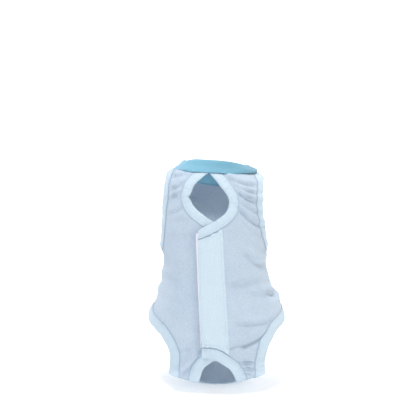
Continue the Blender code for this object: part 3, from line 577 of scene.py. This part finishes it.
def walk(surface, angle, station, heading, distances, scale=1.0):
    """Angle and station at each distance, times a scale, from an edge line straight over the surface."""
    found, gone = [], 0.0
    for distance in distances:
        steps = max(1, math.ceil((distance - gone) / WALK_STEP))
        stride = scale * (distance - gone) / steps
        for _ in range(steps):
            by_angle = (surface(angle + TINY, station) - surface(angle - TINY, station)) / (2 * TINY)
            by_station = (surface(angle, station + TINY) - surface(angle, station - TINY)) / (2 * TINY)
            out = unit(np.cross(by_angle, by_station))
            heading = unit(heading - out * (heading * out).sum(1, keepdims=True))
            aa, bb = (by_angle**2).sum(1), (by_station**2).sum(1)
            ab = (by_angle * by_station).sum(1)
            ha, hb = (heading * by_angle).sum(1), (heading * by_station).sum(1)
            angle = angle + stride * (ha * bb - hb * ab) / (aa * bb - ab**2)
            station = station + stride * (hb * aa - ha * ab) / (aa * bb - ab**2)
        gone = distance
        found.append((angle, station))
    return found


class Nodes:
    """Makes and joins a material's shader nodes."""

    def __init__(self, name):
        self.material = bpy.data.materials.new(name)
        self.material.use_nodes = True
        self.tree = self.material.node_tree
        self.place = self.make("ShaderNodeTexCoord").outputs["Object"]

    def put(self, value, socket):
        if isinstance(value, bpy.types.NodeSocket):
            self.tree.links.new(value, socket)
        else:
            socket.default_value = value

    def make(self, kind, inputs=(), **settings):
        node = self.tree.nodes.new(kind)
        for key, value in settings.items():
            setattr(node, key, value)
        for key, value in dict(inputs).items():
            self.put(value, node.inputs[key])
        return node

    def finish(self, **inputs):
        """The material, once its shader has these inputs, whose names have _ for a space."""
        for name, value in inputs.items():
            self.put(value, self.tree.nodes["Principled BSDF"].inputs[name.replace("_", " ")])
        return self.material

    def noise(self, where, scale, detail=2.0, rough=0.5):
        inputs = {"Vector": where, "Scale": scale, "Detail": detail, "Roughness": rough}
        return self.make("ShaderNodeTexNoise", inputs).outputs["Fac"]

    def speckle(self, where, scale, detail=2.0, rough=0.5, low=0.35):
        """Noise with its middle values spread out over 0 to 1."""
        return self.ramp(self.noise(where, scale, detail, rough), low, 1 - low)

    def wave(self, where, scale, direction, distortion):
        inputs = {"Vector": where, "Scale": scale, "Distortion": distortion,
                  "Detail": 1.0, "Detail Scale": 1.5}
        made = self.make("ShaderNodeTexWave", inputs, wave_type="BANDS", bands_direction=direction)
        return made.outputs["Fac"]

    def ramp(self, value, low, high, to_low=0.0, to_high=1.0):
        inputs = {"Value": value, "From Min": low, "From Max": high, "To Min": to_low, "To Max": to_high}
        return self.make("ShaderNodeMapRange", inputs).outputs["Result"]

    def math(self, operation, *values):
        return self.make("ShaderNodeMath", enumerate(values), operation=operation).outputs[0]

    def mix(self, share, a, b):
        inputs = {"Factor": share, "A": a, "B": b}
        return self.make("ShaderNodeMix", inputs, data_type="RGBA").outputs["Result"]

    def seam_shaded(self, colour, share, seam):
        """A colour with painted shade: it turns by a share to the darker seam colour where the painted_shade
        attribute is set.
        """
        painted_shade = self.make("ShaderNodeAttribute", attribute_name="painted_shade").outputs["Fac"]
        return self.mix(self.math("MULTIPLY", painted_shade, share), colour, seam)

    def bump(self, height, distance, strength, **under):
        inputs = {"Height": height, "Distance": distance, "Strength": strength, **under}
        return self.make("ShaderNodeBump", inputs).outputs["Normal"]


def linear(red, green, blue):
    """A colour given as 0 to 255 in sRGB."""
    shares = [v / 255 for v in (red, green, blue)]
    return (*[s / 12.92 if s <= 0.04045 else ((s + 0.055) / 1.055) ** 2.4 for s in shares], 1.0)


def jersey_material(name, light, dark, seam, mottle, rib, right=None):
    """Knitted jersey: a mottle of two yarn shades, loops, the seam colour as painted shade in the seams'
    ditches, and perhaps a painted shade that darkens it towards the wearer's right.
    """
    n = Nodes(name)
    cloth = n.make("ShaderNodeUVMap", uv_map="cloth").outputs["UV"]
    fine, grain = n.speckle(n.place, 900.0, 3.0, 0.65, 0.36), n.speckle(n.place, 500.0, 2.0, 0.6)
    share = n.math("MULTIPLY_ADD", fine, mottle * 0.55, n.math("MULTIPLY", grain, mottle * 0.45))
    colour = n.mix(n.math("MULTIPLY_ADD", n.speckle(n.place, 22.0), 0.18, share), light, dark)
    # A right colour is painted shade: it darkens the cloth towards the wearer's right, away from the light.
    if right is not None:
        beside = n.make("ShaderNodeSeparateXYZ", {"Vector": n.place}).outputs["X"]
        colour = n.mix(n.ramp(beside, -0.035, 0.045, 0.0, 0.9), colour, right)
    loops = n.math("MULTIPLY_ADD", n.wave(cloth, rib * 1.25, "Y", 0.8), 0.55, n.wave(cloth, rib, "X", 0.6))
    # The seam colour is painted shade in the seams' ditches and under the neckband's lip.
    return n.finish(
        Base_Color=n.seam_shaded(colour, 0.85, seam), Roughness=n.ramp(fine, 0.0, 1.0, 0.80, 0.95),
        Sheen_Weight=0.25, Sheen_Roughness=0.6, Specular_IOR_Level=0.25,
        Normal=n.bump(grain, 0.0002, 0.35, Normal=n.bump(loops, 0.00012, 0.55)),
    )


def woven_material(name, light, dark):
    """A close woven strip, with fine upright ribs and a few paler threads."""
    n = Nodes(name)
    cloth = n.make("ShaderNodeUVMap", uv_map="cloth").outputs["UV"]
    stretched = n.make("ShaderNodeMapping", {"Vector": cloth, "Scale": (900.0, 45.0, 1.0)}).outputs["Vector"]
    threads, fine = n.speckle(stretched, 1.0, 2.0, 0.6), n.speckle(n.place, 800.0, 2.0, 0.6, 0.36)
    share = n.math("MULTIPLY_ADD", threads, 0.22, n.math("MULTIPLY", fine, 0.35))
    ribs = n.math("MULTIPLY_ADD", n.wave(cloth, 2240.0, "Y", 0.3), 0.5, n.wave(cloth, 1400.0, "X", 0.3))
    # Painted shade towards the dark colour in any seam's ditch; the strip, its folded edge and the tape are
    # given none.
    return n.finish(
        Base_Color=n.seam_shaded(n.mix(share, light, dark), 0.6, dark), Sheen_Weight=0.2, Specular_IOR_Level=0.3,
        Roughness=n.ramp(threads, 0.0, 1.0, 0.70, 0.85), Normal=n.bump(ribs, 0.0001, 0.2),
    )


def thread_material(name, light, dark):
    """Twisted sewing thread."""
    n = Nodes(name)
    twist = n.noise(n.place, 2600.0)
    colour = n.mix(n.ramp(twist, 0.35, 0.65), light, dark)
    return n.finish(Base_Color=colour, Roughness=0.55, Sheen_Weight=0.3, Normal=n.bump(twist, 0.00008, 0.6))


def placed(name, data):
    """A new object of the scene."""
    made = bpy.data.objects.new(name, data)
    bpy.context.scene.collection.objects.link(made)
    return made


def mesh_piece(name, points, faces, finish, node=None, uv=None, painted_shade=None):
    """A piece from points in body metres, with the chest's middle as the origin. It may replace a node."""
    mesh = bpy.data.meshes.new(name)
    mesh.from_pydata((np.asarray(points) - [0.0, 0.0, CHEST_HEIGHT]).tolist(), [], faces)
    if uv is not None:
        corners = np.empty(len(mesh.loops), dtype=np.int32)
        mesh.loops.foreach_get("vertex_index", corners)
        layer = mesh.uv_layers.new(name="cloth")
        layer.data.foreach_set("uv", np.asarray(uv, dtype=np.float32)[corners].ravel())
        # The painted_shade attribute: how much painted shade each point gets, in the seams' ditches and under
        # the neckband's lip.
        made = mesh.attributes.new("painted_shade", "FLOAT", "POINT")
        made.data.foreach_set("value", np.asarray(painted_shade, dtype=np.float32).ravel())
    net = bmesh.new()
    net.from_mesh(mesh)
    bmesh.ops.recalc_face_normals(net, faces=net.faces)
    net.to_mesh(mesh)
    net.free()
    mesh.shade_smooth()
    mesh.set_sharp_from_angle(angle=math.radians(60))
    mesh.materials.append(finish)
    piece = placed(name, mesh)
    if node:
        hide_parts(node)
    return piece


def outward(place, net):
    """Normals of a net's own points, on the side that the body's normals point to."""
    rough = normal_of(plain_body, net[..., 0], net[..., 1])
    out = np.cross(np.gradient(place, axis=0), np.gradient(place, axis=1))
    size = np.linalg.norm(out, axis=-1, keepdims=True)
    out = np.where(size > 1e-14, out / np.maximum(size, 1e-14), rough)
    return out * np.sign((out * rough).sum(-1, keepdims=True) + 1e-9)


def seam_shade_dashes(along):
    """How deep the painted shade of a stitched seam is along its run, deeper at each stitch."""
    return 0.78 + 0.22 * np.sin(along * 2 * math.pi / DASH_PITCH)


def sheet_piece(name, net, surface, low, high, finish, node=None, seam_lines=()):
    """A closed sheet of cloth over a net, between two distances from the surface."""
    rows, columns = net.shape[:2]
    place = over(surface, net)
    out = outward(place, net)
    points = np.concatenate([(place + out * low).reshape(-1, 3), (place + out * high).reshape(-1, 3)])
    top = rows * columns
    index = np.arange(top).reshape(rows, columns)
    corners = [index[:-1, :-1], index[:-1, 1:], index[1:, 1:], index[1:, :-1]]
    quads = np.stack([corner.ravel() for corner in corners], -1)
    faces = quads[:, ::-1].tolist() + (quads + top).tolist()
    rim = np.concatenate([index[0, :], index[1:, -1], index[-1, -2::-1], index[-2:0:-1, 0]]).tolist()
    faces += [(p, q, top + q, top + p) for p, q in zip(rim, [*rim[1:], rim[0]])]
    round_body = np.arctan2(place[..., 0], -place[..., 1]) * CHEST_HALF_WIDTH
    uv = np.stack([round_body, place[..., 2]], -1).reshape(-1, 2)
    # Painted shade along each seam's ditch, in dashes at the stitches.
    painted_shade = np.zeros(top)
    for seam in seam_lines:
        away, along = seam_distance(over(plain_body, net), seam)
        painted_shade = np.maximum(painted_shade, np.exp(-((away.ravel() / SEAM_SHADE) ** 2)) * seam_shade_dashes(along.ravel()))
    uv, painted_shade = np.concatenate([uv, uv]), np.concatenate([painted_shade, painted_shade])
    return mesh_piece(name, points, faces, finish, node, uv, painted_shade)


def tube_faces(count, sides, closed):
    """Faces round a row of rings, which go on to the first ring or end in caps."""
    ring = np.arange(count * sides).reshape(count, sides)
    if closed:
        ring = np.vstack([ring, ring[:1]])
    ahead = np.roll(ring, -1, axis=1)
    faces = np.stack([ring[:-1], ahead[:-1], ahead[1:], ring[1:]], -1).reshape(-1, 4).tolist()
    return faces if closed else [*faces, ring[0, ::-1].tolist(), ring[-1].tolist()]


def swept_piece(name, rings, run, finish, painted_shade, node, closed=True, upright=False):
    """A piece swept through rings, in the place of a node. Its threads may run upright, not along it."""
    uv = np.stack(np.broadcast_arrays(run_along(rings[0])[None, :], run[:, None]), -1).reshape(-1, 2)
    uv = uv[:, ::-1] if upright else uv
    faces = tube_faces(*rings.shape[:2], closed)
    return mesh_piece(name, rings.reshape(-1, 3), faces, finish, node, uv, painted_shade)


def stitch_piece(name, paths, finish):
    """Short stitches that lie along paths and dip into the cloth at both ends."""
    points, faces = [], []
    around = np.linspace(0, 2 * math.pi, STITCH_SIDES, endpoint=False)[None, :, None]
    bulge = np.sin(np.linspace(0.12, math.pi - 0.12, STITCH_STEPS))[:, None]
    radius = STITCH_THICKNESS / 2 * (0.45 + 0.55 * bulge[:, None])
    stitch_faces = tube_faces(STITCH_STEPS, STITCH_SIDES, False)
    for path, out in paths:
        run = run_along(path)
        count = int(run[-1] / STITCH_PITCH)
        for k in range(count):
            where = (k + 0.15) * run[-1] / count + STITCH_LENGTH * np.linspace(0, 1, STITCH_STEPS)
            centre, normal = (
                np.stack([np.interp(where, run, line[:, j]) for j in range(3)], -1) for line in (path, out)
            )
            normal = unit(normal)
            aside = unit(np.cross(normal, centre[-1] - centre[0]))[:, None]
            centre = centre + normal * STITCH_THICKNESS * (0.75 * bulge - 0.45)
            ring = np.cos(around) * aside * 1.15 + np.sin(around) * normal[:, None]
            base = len(points)
            points.extend((centre[:, None] + radius * ring).reshape(-1, 3))
            faces += [[base + corner for corner in face] for face in stitch_faces]
    return mesh_piece(name, np.array(points), faces, finish)


def make_panels(edges, finish):
    """The left and right back panels and the belly panel."""
    made = {}
    side_row, half = SHOULDER_ROWS + ARMHOLE_ROWS, len(seams) // 2
    seam_rows = [*range(SHOULDER_ROWS + 1), *range(side_row, side_row + SIDE_ROWS + 1)]
    centre_rows = slice(KEYHOLE_ROWS + EDGE_ROWS + TAIL_ROWS, None)
    halves = (("left", -1, body, seams[:half]), ("right", 1, lifted_body, seams[half:]))
    for word, hand, surface, own_seams in halves:
        outer, inner = joined(edges[hand]["back"].values()), joined(edges[hand]["inner"].values())
        outer[seam_rows] = moved_in(outer, inner, SEAM_GAP / 4)[seam_rows]
        inner[centre_rows] = moved_in(inner, outer, SEAM_GAP / 4)[centre_rows]
        name, node, net = f"jersey_{word}_back", f"{word}_back_panel", patch(inner, outer, BACK_COLUMNS)
        made[word] = sheet_piece(name, net, surface, 0.0, CLOTH, finish, node, own_seams)
    left, right = (joined(edges[hand]["front"].values()) for hand in (-1, 1))
    left = left + [2 * math.pi, 0.0]
    drawn_left, drawn_right = moved_in(left, right, SEAM_GAP / 4), moved_in(right, left, SEAM_GAP / 4)
    left[seam_rows], right[seam_rows] = drawn_left[seam_rows], drawn_right[seam_rows]
    net = patch(right, left, BELLY_COLUMNS)
    made["belly"] = sheet_piece("jersey_belly", net, body, 0.0, CLOTH, finish, "belly_panel", seams)
    return made


def binding_profile(width):
    """The folded binding's outline: distance from the seam towards the hole, and height over the body."""
    top, inside = CLOTH + BINDING_STAND, CLOTH + LIP_GAP
    upper = [
        (-LIP + 0.0001, inside), (-LIP - 0.0001, (inside + top) / 2), (-LIP + 0.0003, top - 0.0001),
        (0.0009, top), (0.0021, top - 0.00022), (0.0033, top + 0.00003), (width * 0.5, top + 0.0002),
        (width * 0.8, top + 0.0001), (width - 0.0006, top - 0.00035), (width, CLOTH * 0.55),
    ]
    lower = [(d, CLOTH - height) for d, height in (*upper[-2:-5:-1], (0.0021, top), *upper[2::-1])]
    return [*upper, *lower, (LIP_GAP, CLOTH - inside), (LIP_GAP, inside)]


# Points of that outline: where the stitches lie, where painted shade fills the ditch of the seam, and beside
# it, where it is half as deep.
STITCH_PLACE = 4
SEAM_SHADE_PLACES = [0, 1, 15, 16, 17, 18]
SEAM_HALF_SHADE_PLACES = [2, 14]


def binding_rings(line, surface, hand, width, closed=False, end=None, corners=(None, None), pinch=0.0):
    """Rings of a folded binding along an edge line, narrowed by a pinch where the line is furthest left."""
    angle, station = line[:, 0], line[:, 1]
    place = surface(angle, station)
    if closed:
        ahead = np.roll(place, -1, axis=0) - np.roll(place, 1, axis=0)
    else:
        last = beyond(place[-1], place[-2]) if end is None else end
        ahead = np.vstack([place[1:], last]) - np.vstack([beyond(place[0], place[1]), place[:-1]])
    run = run_along(place)
    heading = unit(np.cross(normal_of(plain_body, angle, station), ahead) * hand)
    outline = binding_profile(width)
    scale = 1 - pinch * np.exp(-np.abs(run - run[place[:, 0].argmin()]) / PINCH_REACH)
    reached = {0.0: (angle, station)}
    for way, stretch in ((1, scale), (-1, 1.0)):
        distances = sorted({d * way for d, _ in outline if d * way > 0})
        for d, found in zip(distances, walk(surface, angle, station, heading * way, distances, stretch)):
            reached[d * way] = found
    for row, corner in zip((0, -1), corners):
        if corner is None:
            continue
        weight = smooth(1 - np.abs(run - run[row]) / END_REACH)
        turn = (corner[0] - angle[row], corner[1] - station[row])
        for d, found in list(reached.items()):
            aimed = (angle + turn[0] * d / width, station + turn[1] * d / width)
            reached[d] = tuple(now + (then - now) * weight for now, then in zip(found, aimed))
    sway = 0.00012 * np.sin(run * 330 + 1.0) + 0.00010 * np.sin(run * 770)
    if closed:
        sway = sway * smooth(run / 0.01) * smooth((run[-1] - run) / 0.01)
    sides = []
    for d, height in outline:
        out = normal_of(surface, *reached[d])
        sides.append(surface(*reached[d]) + out * (height + sway * smooth(d / width * 1.4))[:, None])
    return np.stack(sides, 1), run


def make_binding(node, rings, run, finishes, closed=False, fade=None):
    """A folded binding in the place of a node, and its stitches. Its painted seam shade fades out over the
    last fade metres.
    """
    finish, thread = finishes
    # Painted shade in the seam's ditch, and half as much beside it, in dashes at the stitches.
    painted_shade = np.zeros(rings.shape[:2])
    painted_shade[:, SEAM_SHADE_PLACES] = seam_shade_dashes(run)[:, None]
    painted_shade[:, SEAM_HALF_SHADE_PLACES] = 0.5 * seam_shade_dashes(run)[:, None]
    if fade:
        painted_shade *= smooth((run[-1] - run) / fade)[:, None]
    piece = swept_piece(f"folded_{node}", rings, run, finish, painted_shade, node, closed)
    path = rings[:, STITCH_PLACE]
    out = unit(np.cross(np.gradient(path, axis=0), rings[:, STITCH_PLACE + 1] - rings[:, STITCH_PLACE - 1]))
    out *= np.sign(((path - rings.mean(axis=1)) * out).sum(1, keepdims=True) + 1e-12)
    if closed:
        path, out = np.vstack([path, path[:1]]), np.vstack([out, out[:1]])
    name = "stitches_" + node.removesuffix("_binding")
    return [piece, stitch_piece(name, [(path, out)], thread)]


def make_bindings(edges, finishes):
    """The bindings round the leg holes, beside the keyhole and round the tail hole, with their stitches."""
    made = []
    for word, hand in (("left", -1), ("right", 1)):
        for hole, width in (("armhole", BINDING_WIDTH), ("leg", LOW_BINDING_WIDTH)):
            rings, run = binding_rings(hole_loop(edges, hand, hole), body, hand, width, closed=True)
            made += make_binding(f"{word}_{hole}_binding", rings, run, finishes, closed=True)
    top_left, top_right, foot = from_across([KEYHOLE_CORNER_LEFT, KEYHOLE_CORNER_RIGHT, KEYHOLE_END_CORNER])
    for word, hand, surface, corners, pinch, fade in (
        ("left", -1, body, (top_left, None), KEYHOLE_PINCH, None),
        ("right", 1, lifted_body, (top_right, foot), 0.0, SEAM_SHADE_FADE_END),
    ):
        line = edges[hand]["inner"]["keyhole"]
        rings, run = binding_rings(line, surface, -hand, BINDING_WIDTH, corners=corners, pinch=pinch)
        made += make_binding(f"{word}_keyhole_binding", rings, run, finishes, fade=fade)
    left, right = edges[-1]["inner"]["tail"], edges[1]["inner"]["tail"]
    left_rings, left_run = binding_rings(left, body, 1, LOW_BINDING_WIDTH, end=body(*right[-2]))
    right_rings, right_run = binding_rings(right, lifted_body, -1, LOW_BINDING_WIDTH, end=body(*left[-2]))
    run = np.concatenate([left_run, left_run[-1] + right_run[-1] - right_run[-2::-1]])
    rings = np.concatenate([left_rings, right_rings[-2::-1]])
    return made + make_binding("tail_binding", rings, run, finishes)


def seam_station(line, across):
    """The station of an edge line at each distance across the back."""
    place = over(plain_body, line)
    order = np.argsort(place[:, 0])
    return np.interp(across, place[order, 0], line[order, 1])


def make_closing(edges, strip_finish, tape_finish, thread):
    """The sewn strip on the right half's edge with its folded edge, whose paler tape colour is a painted
    highlight along the fold, and the tape under it.
    """
    keyhole, tail = edges[1]["inner"]["keyhole"], edges[1]["inner"]["tail"]
    keyhole, tail = keyhole[len(keyhole) // 2:], tail[: len(tail) // 2]
    inset, drop = STRIP_INSET / BODY_LENGTH * NECKLINE, TAPE_MARGIN / BODY_LENGTH * NECKLINE
    foot_left = OVERLAP_LEFT + OVERLAP_SLANT

    def net_between(top, foot, top_station, foot_station, rows):
        down = np.linspace(0, 1, rows + 1)[:, None]
        station = top_station * (1 - down) + foot_station * down
        angle = angle_at(top * (1 - down) + foot * down, station)
        return np.stack(np.broadcast_arrays(angle, station), -1)

    def strip_net(top_shares, foot_shares, rise=0.0):
        top, foot = OVERLAP_LEFT + top_shares * STRIP_WIDTH_TOP, foot_left + foot_shares * STRIP_WIDTH_FOOT
        top_station = seam_station(keyhole, top) - inset + rise
        return net_between(top, foot, top_station, seam_station(tail, foot) + inset, STRIP_ROWS)

    shares = np.linspace(0, 1, STRIP_COLUMNS + 1)
    net = strip_net(shares, shares)
    raised = smooth((1 - shares) / STRIP_EASE)[None, :, None]
    low = CLOTH + 0.0001 + (LAYER_GAP - 0.0001) * raised
    high = low + STRIP_CLOTH * (0.4 + 0.6 * raised)
    node, surface = "closing_strip", lifted_body
    strip = sheet_piece("woven_closing_strip", net, surface, low, high, strip_finish, node)
    out = outward(over(surface, net), net)
    top_face = over(surface, net) + out * high
    lines = [(slice(3, -3), 2), (slice(3, -3), STRIP_COLUMNS - 3), (3, slice(2, -4)), (-4, slice(2, -4))]
    paths = [(top_face[line], out[line]) for line in lines]
    stitches = stitch_piece("stitches_strip", paths, thread)
    # The strip's folded edge, in the tape's paler colour as a painted highlight along the fold.
    edge_net = strip_net(np.linspace(-0.095, -0.012, 5), np.linspace(-0.022, -0.003, 5), EDGE_RISE)
    low = CLOTH + LAYER_GAP
    edge = sheet_piece("strip_folded_edge_painted_highlight", edge_net, surface, 0.0002, low + 0.0009, tape_finish)
    across = np.linspace(foot_left + TAPE_MARGIN, OVERLAP_RIGHT - TAPE_MARGIN, 13)
    net = net_between(across, across, KEYHOLE_FOOT_STATION - drop, TAIL_TOP_STATION + drop, 96)
    high = low + CLOSING_TAPE
    tape = sheet_piece("hook_and_loop_tape", net, body, low, high, tape_finish, "fastening_tape")
    return {"strip": strip, "stitches": stitches, "edge": edge, "tape": tape}


def make_neckband(finish):
    """The doubled band, which grips the panels' top edge and stands up from it."""
    turn = np.linspace(0, 2 * math.pi, BAND_SEGMENTS, endpoint=False)
    turn = np.where(turn > math.pi, turn - 2 * math.pi, turn)
    seat = plain_body(turn, NECKLINE)
    inward = unit((seat.mean(axis=0) - seat) * [1, 1, 0])
    gap, thick, foot = BINDING_STAND + SEAM_GAP, NECKBAND_THICKNESS, NECKLINE - NECKBAND_OVERHANG
    lip, lip_out = plain_body(turn, foot), normal_of(plain_body, turn, foot)
    # The lip stands higher where the keyhole's bindings pass under it.
    beside_keyhole = risen(seat[:, 0], -0.028, -0.022) * risen(seat[:, 0], 0.013, 0.007)
    clear = CLOTH + LIP_GAP + (BINDING_STAND + 0.0003) * beside_keyhole * (np.abs(turn) < math.pi / 2)
    across = across_share(turn)
    arch = NECKBAND_ARCH * np.exp(-(((across - NECKBAND_ARCH_PLACE) / NECKBAND_ARCH_REACH) ** 2))
    high = NECKBAND_HEIGHT * (1 - (NECKBAND_SIDE_LOSS + NECKBAND_WORN_LOSS) * across**2 + arch)
    lean = NECKBAND_LEAN * (1 + NECKBAND_SIDE_LEAN * across**2) * high
    right, left = smooth(across * 1.8 - 0.8), smooth(-across * 1.8 - 0.8)
    ripple = 0.00018 * np.sin(turn * 41 + 1.3 * np.sin(turn * 7)) + 0.00014 * np.sin(turn * 67)
    slant = 0.00025 * np.sin(turn * 23 + 0.8)
    # The band's outline: distance in from the neckline, and height over it as a share of the band's.
    outline = [
        (-0.0022 + ripple, 0.16), (-0.0010 + 0.04 * lean + ripple, 0.28), (gap + 0.15 * lean - 0.0003, 0.42),
        (gap + 0.40 * lean + slant, 0.58), (gap + 0.62 * lean - slant, 0.75), (gap + 0.85 * lean, 0.89),
        (gap + lean, 0.965), (gap + lean + 0.25 * thick, 1.0), (gap + lean + 0.6 * thick, 1.005),
        (gap + lean + 0.92 * thick, 0.96), (gap + lean + thick, 0.90), (gap + 0.62 * lean + thick, 0.68),
        (gap + 0.34 * lean + thick, 0.40), (gap + 0.10 * lean + thick, 0.10), (gap + thick, -0.14),
        (gap + 0.6 * thick, -0.20), (gap + 0.0001, -0.15), (gap, 0.0),
        (gap - 0.0004, (0.0005 + clear) / high),
    ]
    sides = []
    for inset, share in outline:
        fold = NECKBAND_FOLD * np.exp(-(((share - NECKBAND_FOLD_PLACE) / NECKBAND_FOLD_REACH) ** 2))
        sides.append(seat + inward * (inset - right * fold)[:, None] + np.outer(share * high, [0, 0, 1]))
    # The lip that lies over the panels' top edge: how far up from its foot, and its height over the cloth.
    tucked = lip + inward * (right + 0.6 * left)[:, None] * NECKBAND_TUCK
    for share, stand in ((0.35, 0.0), (0.04, 0.0), (-0.08, 0.0005), (0.06, 0.0011), (0.55, 0.0015)):
        sides.append(tucked + (seat - lip) * share + lip_out * (clear + stand)[:, None])
    rings = np.stack(sides, 1)
    # Painted shade on the underside of the lip, where it lies over the panels.
    painted_shade = np.zeros(rings.shape[:2])
    painted_shade[:, -5:-2] = 1.0
    run = run_along(rings[:, 1])
    return swept_piece("doubled_neckband", rings, run, finish, painted_shade, "neckband", upright=True)


def add_stage():
    """A plain pale floor that sweeps up behind the suit, soft lights and the camera."""
    scene = bpy.context.scene
    low = cad_box[0].z - 0.0015
    half, near, far, radius, height = 6.0, -6.0, 1.2, 0.5, 3.0
    turns = np.linspace(0, math.pi / 2, 13)
    sweep = [(far + radius * math.sin(t), low + radius - radius * math.cos(t)) for t in turns]
    outline = [(near, low), *sweep, (far + radius, low + height)]
    points = [(x, y, z) for y, z in outline for x in (-half, half)]
    mesh = bpy.data.meshes.new("floor")
    mesh.from_pydata(points, [], [(k, k + 1, k + 3, k + 2) for k in range(0, len(points) - 2, 2)])
    mesh.shade_smooth()
    n = Nodes("pale_floor")
    pale = n.mix(n.noise(n.place, 3.0), (0.86, 0.87, 0.88, 1.0), (0.90, 0.90, 0.91, 1.0))
    white = (1.0, 1.0, 1.0, 1.0)
    material = n.finish(Base_Color=pale, Roughness=0.9, Emission_Color=white, Emission_Strength=0.36)
    mesh.materials.append(material)
    floor = placed("floor", mesh)

    scene.world = bpy.data.worlds.new("studio")
    scene.world.use_nodes = True
    sky = scene.world.node_tree.nodes["Background"].inputs
    sky["Color"].default_value = (0.95, 0.97, 1.0, 1.0)
    sky["Strength"].default_value = 0.32
    lights = (
        ("key", (-0.20, -0.72, 1.55), (0, 0, 0), 0.36, 17.0, (1.0, 1.0, 1.0)),
        ("warm_side", (1.2, -1.0, 0.60), (0, 0, 0), 0.8, 6.8, (1.0, 0.90, 0.77)),
        ("cool_side", (-1.3, -0.6, 0.35), (0, 0, 0), 1.2, 2.0, (0.95, 0.98, 1.0)),
        ("top", (0.1, 0.3, 1.5), (0, 0, 0), 1.0, 3.0, (1.0, 1.0, 1.0)),
        ("backdrop", (0.0, 0.45, 1.0), (0, 1.5, 0.1), 1.4, 8.0, (1.0, 1.0, 1.0)),
    )
    for name, place, target, size, power, tint in lights:
        data = bpy.data.lights.new(name, "AREA")
        data.shape, data.size, data.energy, data.color = "DISK", size, power, tint
        light = placed(name, data)
        light.location = place
        light.rotation_mode = "QUATERNION"
        light.rotation_quaternion = (Vector(target) - Vector(place)).to_track_quat("-Z", "Y")

    data = bpy.data.cameras.new("camera")
    data.sensor_width, data.lens = 36.0, 97.4
    data.clip_start, data.clip_end = 0.05, 20.0
    camera = placed("camera", data)
    camera.location = (-0.0091, -1.3686, 0.2569)
    camera.rotation_euler = (math.radians(80), 0, 0)
    scene.camera = camera
    scene.view_settings.view_transform = "Standard"


def make_edges():
    """The edge lines of both halves, with the bound ones kept among the seams."""
    edges = {}
    for hand in (-1, 1):
        back, front = outer_edges(hand)
        edges[hand] = {"back": back, "front": front, "inner": inner_edges(hand)}
        for hole in ("armhole", "leg"):
            loop = hole_loop(edges, hand, hole)
            seams.append(seam_samples(np.vstack([loop, loop[:1]])))
        keyhole = edges[hand]["inner"]["keyhole"]
        seams.append(seam_samples(keyhole[:-SEAM_FADE_ROWS] if hand > 0 else keyhole))
        seams.append(seam_samples(edges[hand]["inner"]["tail"]))
    return edges


def main():
    add_stage()
    # Each jersey's third colour is the seam colour: painted shade in the seams' ditches and under the
    # neckband's lip.
    jersey = jersey_material(
        "jersey", linear(200, 214, 229), linear(168, 189, 210), linear(112, 146, 178), 0.7, 950.0
    )
    binding = jersey_material(
        "binding", linear(205, 223, 236), linear(184, 207, 226), linear(118, 154, 188), 0.35, 1300.0
    )
    neckband = jersey_material(
        "neckband", linear(137, 193, 217), linear(115, 176, 205), linear(60, 128, 166), 0.4, 1200.0,
        # The right colour is painted shade, darker towards the wearer's right.
        right=linear(100, 156, 180),
    )
    strip = woven_material("strip", linear(204, 221, 232), linear(182, 204, 221))
    tape = woven_material("tape", linear(226, 225, 234), linear(208, 212, 226))
    thread = thread_material("thread", linear(192, 214, 232), linear(146, 176, 204))
    edges = make_edges()
    panels = make_panels(edges, jersey)
    trims = make_bindings(edges, (binding, thread))
    closing = make_closing(edges, strip, tape, thread)
    band = make_neckband(neckband)
    for piece in (*panels.values(), *trims, *closing.values(), band):
        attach(piece, "root")


main()
